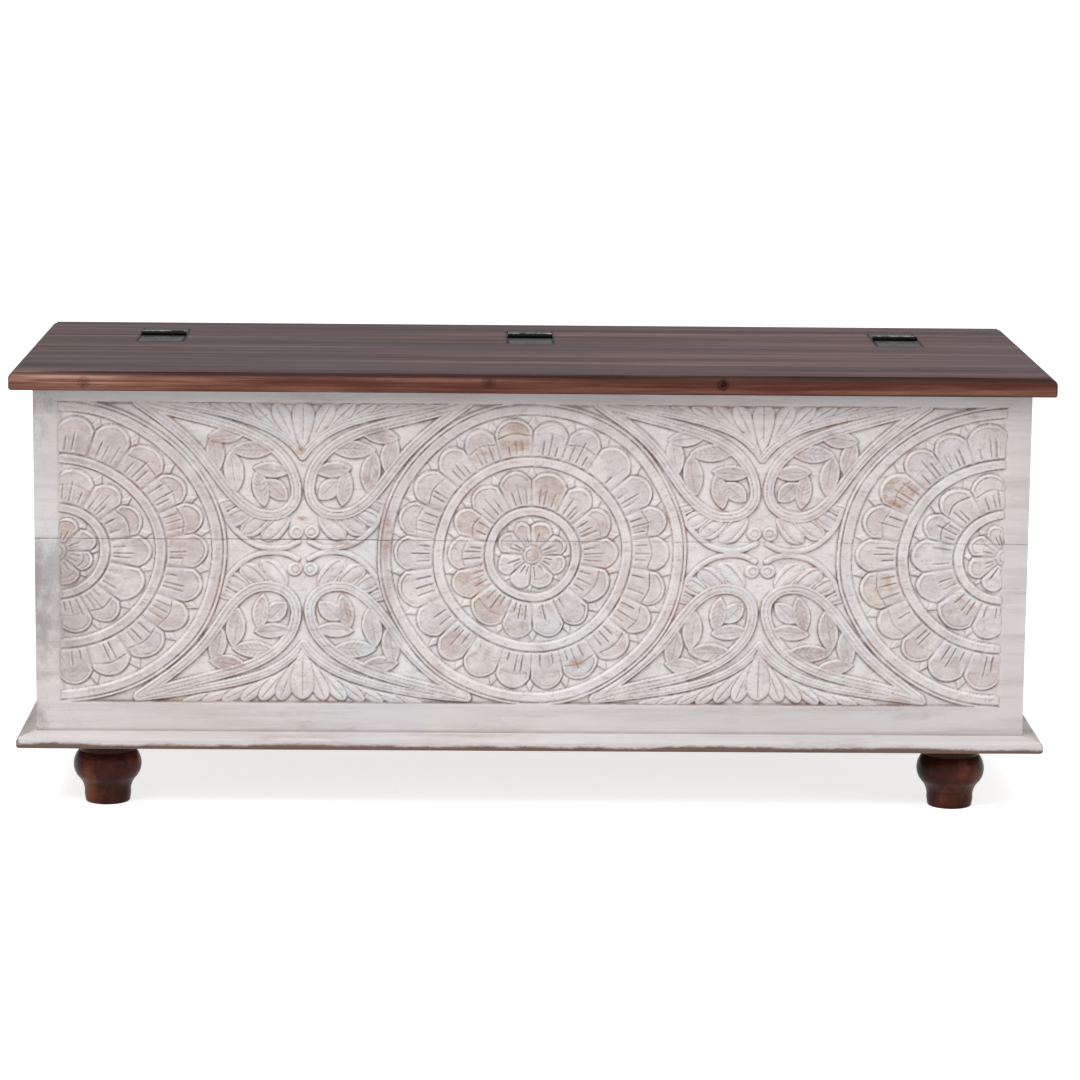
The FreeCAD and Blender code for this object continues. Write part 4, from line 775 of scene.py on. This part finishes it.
carved_paint = whitewash("carved_whitewash", carved=True)
carved_board("front_board_bottom", 0, 0.12)
carved_board("front_board_lower", 0.12, 0.45)
carved_board("front_board_upper", 0.45, 0.15)
carved_board("front_board_top", 0.15, 0)

# The plain box behind it: two sides between front and back, and the back, all wide planks with
# the same wash, and the mitred base boards with a sloped top and a rounded nose, whose lower lip
# is rubbed through to the wood all along.
def paint_on_base(tree, paint, turned):
    """The wash on a base board, worn along its lower lip and at the front corners. Gives its colour,
    how far it is rubbed off, and the dark wood under it."""
    low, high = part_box("base_board_front")
    x, _, height = split(tree, where(tree))
    lip = graded(tree, height, low.z + 0.002, low.z + 0.0105, 1.0, 0.0)
    corner = graded(tree, math_node(tree, "ABSOLUTE", x), high.x - 0.009, high.x - 0.001, 0.0, 0.62)
    broken = ramp(tree, noise(tree, 26, 7, 0.75, (0.5, 1, 1), (3, 1, 2)), (0.35, 0.0), (0.7, 0.5))
    spots = math_node(tree, "ADD", math_node(tree, "MAXIMUM", lip, corner), broken)
    brown = mixed(tree, noise(tree, 60, 5, 0.7, (0.15, 1, 1)), colour(58, 36, 32), colour(140, 104, 88))
    if turned:
        grey = ramp(tree, noise(tree, 26, 7, 0.75, (0.4, 1, 1), (2, 2, 5)), (0.38, 0.2), (0.6, 0.85))
        paint = mixed(tree, grey, paint, colour(146, 130, 122))
    return paint, ramp(tree, spots, (0.62, 0.0), (0.95, 0.95)), brown


def dress(material, *names):
    """Give CAD nodes a finish."""
    for name in names:
        nodes[name].data.materials.clear()
        nodes[name].data.materials.append(material)


dress(whitewash("plain_whitewash"), "back_panel")
dress(whitewash("side_whitewash", turned=True), "left_side_panel", "right_side_panel")
dress(whitewash("base_whitewash", lip=True), "base_board_front", "base_board_back")
dress(whitewash("base_end_whitewash", lip=True, turned=True), "base_board_left", "base_board_right")


# The inside: a thin floor on two bearers, square posts in the corners, dowels across the joints
# and battens under the rail, all planed and left bare.
def bare_wood():
    """Planed wood without a finish."""
    made, tree, shader = finish("bare_wood", 0.62, 0.3)
    tree.links.new(bare_wood_colour(tree), shader.inputs["Base Color"])
    bumped(tree, shader, noise(tree, 200, 4, 0.6, (0.05, 1, 1)), 0.25, 0.0005)
    return made


plain_wood = bare_wood()
dress(plain_wood, "floor_panel", "corner_post_front_left", "corner_post_front_right",
      "corner_post_back_left", "corner_post_back_right", "corner_dowels", "floor_bearer_left",
      "floor_bearer_right", "rail_batten", "lid_batten_left", "lid_batten_right")


# The top: three glued lid boards and a fixed rear rail of fine brown wood, stained dark and
# waxed to a satin shine. The moulded edge has taken less stain and shows redder, with a few knots.
leaf_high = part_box("hinge_middle_rail_leaf")[1]
pins = [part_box(f"hinge_{place}_pin") for place in ("left", "middle", "right")]
HINGES_X = [(low.x + high.x) / 2 for low, high in pins]
SEAM_Y = (pins[1][0].y + pins[1][1].y) / 2
LEAF_HALF = leaf_high.x
LEAF_REACH = leaf_high.y - SEAM_Y
# knots in the front edge: X, height, radius and how black
KNOTS = ((0.198, 0.4635, 0.0085, 1.0), (-0.047, 0.4645, 0.010, 0.55), (-0.471, 0.4620, 0.009, 0.45))


def away_from(tree, place, point):
    """The distance of a place from a point."""
    return node(tree, "ShaderNodeVectorMath", {"operation": "DISTANCE"}, i0=place, i1=point).outputs["Value"]


def dark_wood():
    """Dark stain on the level tops, a redder one on the moulded edge, end grain on the ends."""
    made, tree, shader = finish("dark_top", 0.5, 0.05)
    grain = noise(tree, 30, 8, 0.62, (0.045, 1, 1))
    fine = noise(tree, 160, 5, 0.65, (0.02, 1, 1))
    broad = noise(tree, 5, 3, 0.5, (0.3, 1.6, 1))
    dark = ramp(tree, grain, (0.38, colour(46, 32, 36)), (0.5, colour(78, 56, 56)),
                (0.62, colour(124, 94, 88)))
    dark = laid(tree, dark, fine, 0.44, 0.62, 0.7, colour(44, 31, 35))
    # the broad grey-lilac patches are partly the wood's tone and partly a painted sheen
    dark = laid(tree, dark, broad, 0.38, 0.62, 0.45, colour(98, 78, 84))
    edge = ramp(tree, grain, (0.36, colour(92, 56, 45)), (0.5, colour(148, 102, 86)),
                (0.64, colour(206, 162, 140)))
    edge = laid(tree, edge, fine, 0.42, 0.58, 0.85, colour(84, 46, 38))
    # the boards' ends show short dark end grain
    facing_x, _, facing_up = split(tree, node(tree, "ShaderNodeTexCoord").outputs["Normal"])
    pores = noise(tree, 220, 5, 0.7, (1, 0.35, 1))
    end_grain = ramp(tree, pores, (0.35, colour(70, 38, 30)), (0.65, colour(118, 74, 60)))
    edge = laid(tree, edge, math_node(tree, "ABSOLUTE", facing_x), 0.4, 0.85, 1.0, end_grain)
    stained = laid(tree, edge, math_node(tree, "ABSOLUTE", facing_up), 0.35, 0.85, 1.0, dark)
    # knots: a dark eye in rings of light and dark grain, bent by a small noise, which also shifts
    # them by about half its reach
    bend, shift = 0.012, 0.006
    wobble = node(tree, "ShaderNodeTexNoise", Vector=where(tree), Scale=90, Detail=4).outputs["Color"]
    bent = mixed(tree, bend, where(tree), wobble, "ADD")
    for x, height, size, black in KNOTS:
        share = math_node(tree, "DIVIDE", away_from(tree, bent, (x + shift, -0.219, height + shift)), size)
        spot = ramp(tree, share, (0.38, 1.0), (0.52, 0.3), (0.66, 0.8), (0.8, 0.15), (1.0, 0.0))
        stained = mixed(tree, times(tree, spot, black), stained, colour(38, 18, 14))
    # painted shade just under the moulding's upper arris
    x, y, height = split(tree, where(tree))
    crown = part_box("rear_rail")[1].z
    arris = ramp(tree, height, (crown - 0.0042, 0.0), (crown - 0.003, 0.85), (crown - 0.0008, 0.85),
                 (crown - 0.0002, 0.0))
    stained = mixed(tree, arris, stained, colour(44, 24, 20))
    # wax and dirt along the seam, most on the left, with painted shade in its gap, and dirt with a painted
    # shadow round the hinges
    off_seam = off(tree, y, SEAM_Y)
    seam_dirt_and_shade = times(tree, graded(tree, off_seam, 0.001, 0.0045, 1.0, 0.0),
                       graded(tree, x, -0.5, -0.3, 0.9, 0.25))
    stained = mixed(tree, seam_dirt_and_shade, stained, colour(14, 9, 9))
    for middle in HINGES_X:
        beyond_end = math_node(tree, "SUBTRACT", off(tree, x, middle), LEAF_HALF)
        beyond_leaf = math_node(tree, "SUBTRACT", off_seam, LEAF_REACH)
        outside = math_node(tree, "MAXIMUM", beyond_end, beyond_leaf)
        # dirt and painted shadow round each hinge leaf
        stained = mixed(tree, graded(tree, outside, 0.0015, 0.0042, 0.95, 0.0), stained, colour(12, 8, 8))
    tree.links.new(stained, shader.inputs["Base Color"])
    tree.links.new(graded(tree, fine, 0.0, 1.0, 0.44, 0.62), shader.inputs["Roughness"])
    bumped(tree, shader, fine, 0.2, 0.0005)
    return made


stained_wood = dark_wood()
dress(stained_wood, "lid_board_front", "lid_board_middle", "lid_board_back", "rear_rail")


# The turned feet: one piece of brown wood each, with a neck under the base, a round belly, a
# hollow ankle and a small toe, polished on the lathe and left glossy. A bored hole takes the bolt.
def turned_wood():
    """Dark red-brown wood under a thin gloss, its neck darkened by painted shade from the base."""
    made, tree, shader = finish("turned_foot", 0.32, 0.09)
    shader.inputs["Coat Weight"].default_value = 0.03
    shader.inputs["Coat Roughness"].default_value = 0.15
    figure = noise(tree, 30, 6, 0.6, (1, 1, 0.5))
    ring = noise(tree, 260, 3, 0.5, (0.02, 0.02, 1))
    wood = ramp(tree, figure, (0.32, colour(34, 12, 10)), (0.5, colour(68, 28, 20)),
                (0.68, colour(116, 62, 42)))
    wood = laid(tree, wood, ring, 0.45, 0.7, 0.5, colour(30, 11, 8))
    # painted shade on the neck, under the base
    neck = graded(tree, split(tree, where(tree))[2], 0.050, 0.060, 0.0, 0.55)
    tree.links.new(mixed(tree, neck, wood, colour(24, 12, 10)), shader.inputs["Base Color"])
    bumped(tree, shader, ring, 0.15, 0.0004)
    return made


def arc(start, end, centre, count):
    """Points along an arc from start to end about a centre, without its start."""
    first = math.atan2(start[1] - centre[1], start[0] - centre[0])
    last = math.atan2(end[1] - centre[1], end[0] - centre[0])
    turn = (last - first + math.pi) % (2 * math.pi) - math.pi
    radius = math.hypot(start[0] - centre[0], start[1] - centre[1])
    return [(centre[0] + radius * math.cos(first + turn * i / count),
             centre[1] + radius * math.sin(first + turn * i / count)) for i in range(1, count + 1)]


def level_centre(start, end):
    """Centre of the arc from start that is upright at end."""
    rise, run = start[1] - end[1], end[0] - start[0]
    return end[0] - (rise * rise + run * run) / (2 * run), end[1]


def turned_foot(name):
    """Spin the outline, in millimetres from the axis and the floor, about the foot's middle."""
    low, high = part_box(name)
    middle = (low + high) / 2
    neck, belly, turn, ankle, toe, sole = (30, 57), (36.5, 41), (30.8, 26.5), (25, 9), (24, 1.5), (22.5, 0)
    full_height, bore, bore_foot, hollow_radius = 68, 4.05, 32.9, 22
    chord = (ankle[0] - turn[0], ankle[1] - turn[1])
    length = math.hypot(*chord)
    reach = math.sqrt(hollow_radius ** 2 - (length / 2) ** 2)
    hollow = ((turn[0] + ankle[0]) / 2 - chord[1] / length * reach,
              (turn[1] + ankle[1]) / 2 + chord[0] / length * reach)
    outline = [(0, bore_foot), (bore, bore_foot), (bore, full_height), (neck[0], full_height), neck]
    outline += arc(neck, belly, level_centre(neck, belly), 14)
    outline += arc(belly, turn, level_centre(turn, belly), 12)
    outline += arc(turn, ankle, hollow, 10)
    outline += [toe]
    outline += arc(toe, sole, (sole[0], toe[1]), 4)
    outline += [(0, 0)]
    shape = bmesh.new()
    verts = [shape.verts.new((middle.x + r / 1000, middle.y, z / 1000)) for r, z in outline]
    edges = [shape.edges.new(pair) for pair in zip(verts[:-1], verts[1:])]
    bmesh.ops.spin(shape, geom=verts + edges, cent=(middle.x, middle.y, 0), axis=(0, 0, 1), angle=2 * math.pi,
                   steps=96, use_merge=True)
    bmesh.ops.remove_doubles(shape, verts=shape.verts, dist=1e-6)
    bmesh.ops.recalc_face_normals(shape, faces=shape.faces)
    for face in shape.faces:
        face.smooth = True
    foot = stand(shape, name + "_turned")
    foot.data.set_sharp_from_angle(angle=math.radians(32))
    foot.data.materials.append(polished_foot)
    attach(foot, "chest")
    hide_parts(name)


polished_foot = turned_wood()
for end in ("front", "back"):
    for side in ("left", "right"):
        turned_foot(f"foot_{end}_{side}")


# The hinges: three iron butt hinges let into the top over the seam, blackened and worn, with a
# rolled barrel of five knuckles round a pin. A leaf's screws are placed from its middle and the seam.
LEAF_SCREWS = ((0, 0.046), (-0.015, 0.018), (0.015, 0.018))


def iron():
    """Blackened iron, worn grey on the lid's leaves."""
    made, tree, shader = finish("dark_iron", 0.5, 0.15)
    shader.inputs["Metallic"].default_value = 0.25
    cloud = noise(tree, 60, 5, 0.65)
    metal = ramp(tree, cloud, (0.3, colour(36, 35, 35)), (0.6, colour(55, 54, 53)), (0.8, colour(78, 76, 74)))
    x, y, height = split(tree, where(tree))
    off_seam = off(tree, y, SEAM_Y)
    # black: old wax with painted shade by the barrel and on the leaves' rims, old wax in the countersinks,
    # and painted shade over the rail's leaf behind the barrel
    wax_and_shade = [graded(tree, off_seam, 0.006, 0.011, 1.0, 0.0),
              graded(tree, off_seam, LEAF_REACH - 0.0035, LEAF_REACH - 0.001, 0.0, 1.0),
              graded(tree, y, SEAM_Y + 0.012, SEAM_Y + 0.018, 0.0, 0.9)]
    level = node(tree, "ShaderNodeCombineXYZ", X=x, Y=off_seam).outputs[0]
    for middle in HINGES_X:
        beside = off(tree, x, middle)
        end_rim = graded(tree, beside, LEAF_HALF - 0.0023, LEAF_HALF - 0.0009, 0.0, 1.0)
        wax_and_shade.append(times(tree, end_rim, math_node(tree, "LESS_THAN", beside, 0.03)))
        for screw_x, screw_y in LEAF_SCREWS:
            away = away_from(tree, level, (middle + screw_x, screw_y, 0))
            wax_and_shade.append(graded(tree, away, 0.0046, 0.0066, 1.0, 0.0))
    black = wax_and_shade[0]
    for other in wax_and_shade[1:]:
        black = math_node(tree, "MAXIMUM", black, other)
    metal = mixed(tree, black, metal, colour(12, 11, 11))
    # a painted highlight along the barrel's crown
    crown = graded(tree, height, leaf_high.z - 0.0008, leaf_high.z - 0.0002, 0.0, 0.8)
    crown = times(tree, crown, ramp(tree, cloud, (0.4, 0.0), (0.6, 1.0)))
    metal = mixed(tree, crown, metal, colour(210, 208, 204))
    tree.links.new(metal, shader.inputs["Base Color"])
    tree.links.new(graded(tree, cloud, 0.0, 1.0, 0.6, 0.42), shader.inputs["Roughness"])
    bumped(tree, shader, noise(tree, 500, 3, 0.6), 0.3, 0.0003)
    return made


black_iron = iron()
for place in ("left", "middle", "right"):
    dress(black_iron, f"hinge_{place}_rail_leaf", f"hinge_{place}_lid_leaf", f"hinge_{place}_pin")


# Screws: countersunk steel screws with a slot, turned on a lathe, driven down through the hinge
# leaves and up through the battens; plain base screws and foot bolts sit below in the dark.
def steel():
    """Dull steel gone brown."""
    made, tree, shader = finish("screw_steel", 0.45, 0.3)
    shader.inputs["Metallic"].default_value = 0.8
    cloud = noise(tree, 400, 3, 0.6)
    metal = ramp(tree, cloud, (0.35, colour(34, 32, 31)), (0.65, colour(78, 75, 71)))
    tree.links.new(metal, shader.inputs["Base Color"])
    return made


def slotted_screw(shape, x, y, top, facing, turn, head, shank, head_height, length):
    """Spin one screw, head at top, pointing down where facing is 1 and up where it is -1, and cut
    its slot. Sizes in metres, head and shank are radii."""
    one = bmesh.new()
    point, rim, slot_half, slot_depth = length * 0.12, head * 0.08, head * 0.14, head_height * 0.4
    outline = ((0, 0), (head, 0), (shank, -head_height), (shank, point - length), (0, -length))
    verts = [one.verts.new((r, 0, z)) for r, z in outline]
    edges = [one.edges.new(pair) for pair in zip(verts[:-1], verts[1:])]
    bmesh.ops.spin(one, geom=verts + edges, cent=(0, 0, 0), axis=(0, 0, 1), angle=2 * math.pi, steps=20,
                   use_merge=True)
    bmesh.ops.remove_doubles(one, verts=one.verts, dist=1e-6)
    middle = [vert for vert in one.verts if vert.co.length < 1e-6]
    bmesh.ops.dissolve_verts(one, verts=middle)

    def crown():
        return [face for face in one.faces if all(abs(vert.co.z) < 1e-7 for vert in face.verts)]

    bmesh.ops.inset_region(one, faces=crown(), thickness=rim)
    for side in (-1, 1):
        faces = crown()
        sides = {edge for face in faces for edge in face.edges}
        corners = {vert for face in faces for vert in face.verts}
        bmesh.ops.bisect_plane(one, geom=faces + list(sides) + list(corners), dist=1e-7,
                               plane_co=(0, side * slot_half, 0), plane_no=(0, 1, 0))
    bmesh.ops.recalc_face_normals(one, faces=one.faces)

    def in_slot(vert):
        return abs(vert.co.y) < slot_half * 1.04 and vert.co.length < head - rim / 2

    slot = [face for face in crown() if all(in_slot(vert) for vert in face.verts)]
    bmesh.ops.inset_region(one, faces=slot, thickness=rim / 4, depth=-slot_depth)
    bmesh.ops.rotate(one, verts=one.verts, cent=(0, 0, 0), matrix=Matrix.Rotation(turn, 3, "Z"))
    if facing < 0:
        bmesh.ops.rotate(one, verts=one.verts, cent=(0, 0, 0), matrix=Matrix.Rotation(math.pi, 3, "X"))
    bmesh.ops.translate(one, verts=one.verts, vec=(x, y, top))
    bmesh.ops.recalc_face_normals(one, faces=one.faces)
    loose = bpy.data.meshes.new("screw")
    one.to_mesh(loose)
    one.free()
    shape.from_mesh(loose)
    bpy.data.meshes.remove(loose)


def set_of_screws(name, body, places, top, facing, **sizes):
    """One piece for all the screws of a row, each slot turned its own way."""
    shape = bmesh.new()
    for x, y in places:
        slotted_screw(shape, x, y, top, facing, turn=chance.uniform(0, math.pi), **sizes)
    screws = stand(shape, name + "_slotted")
    screws.data.materials.append(screw_metal)
    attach(screws, body)
    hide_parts(name)


screw_metal = steel()
top_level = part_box("rear_rail")[1].z
hinge_screw = {"head": 0.0032, "shank": 0.0016, "head_height": 0.0014, "length": 0.015}
wood_screw = {"head": 0.004, "shank": 0.002, "head_height": 0.0024, "length": 0.033}
for name, body, side in (("hinge_rail_screws", "chest", 1), ("hinge_lid_screws", "lid", -1)):
    places = [(middle + x, SEAM_Y + side * y) for middle in HINGES_X for x, y in LEAF_SCREWS]
    set_of_screws(name, body, places, top_level, 1, **hinge_screw)
batten_low, batten_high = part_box("lid_batten_right")
rail_low, rail_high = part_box("rail_batten")
batten_x = (batten_low.x + batten_high.x) / 2
from_end = 0.020
batten_y = (batten_low.y + from_end, (batten_low.y + batten_high.y) / 2, batten_high.y - from_end)
lid_places = [(side * batten_x, y) for side in (-1, 1) for y in batten_y]
set_of_screws("lid_batten_screws", "lid", lid_places, batten_low.z, -1, **wood_screw)
outer_x = rail_high.x - 0.074
rail_places = [(share * outer_x, (rail_low.y + rail_high.y) / 2) for share in (-1, -1 / 3, 1 / 3, 1)]
set_of_screws("rail_screws", "chest", rail_places, rail_low.z, -1, **wood_screw)
dress(screw_metal, "base_screws", "foot_bolts")
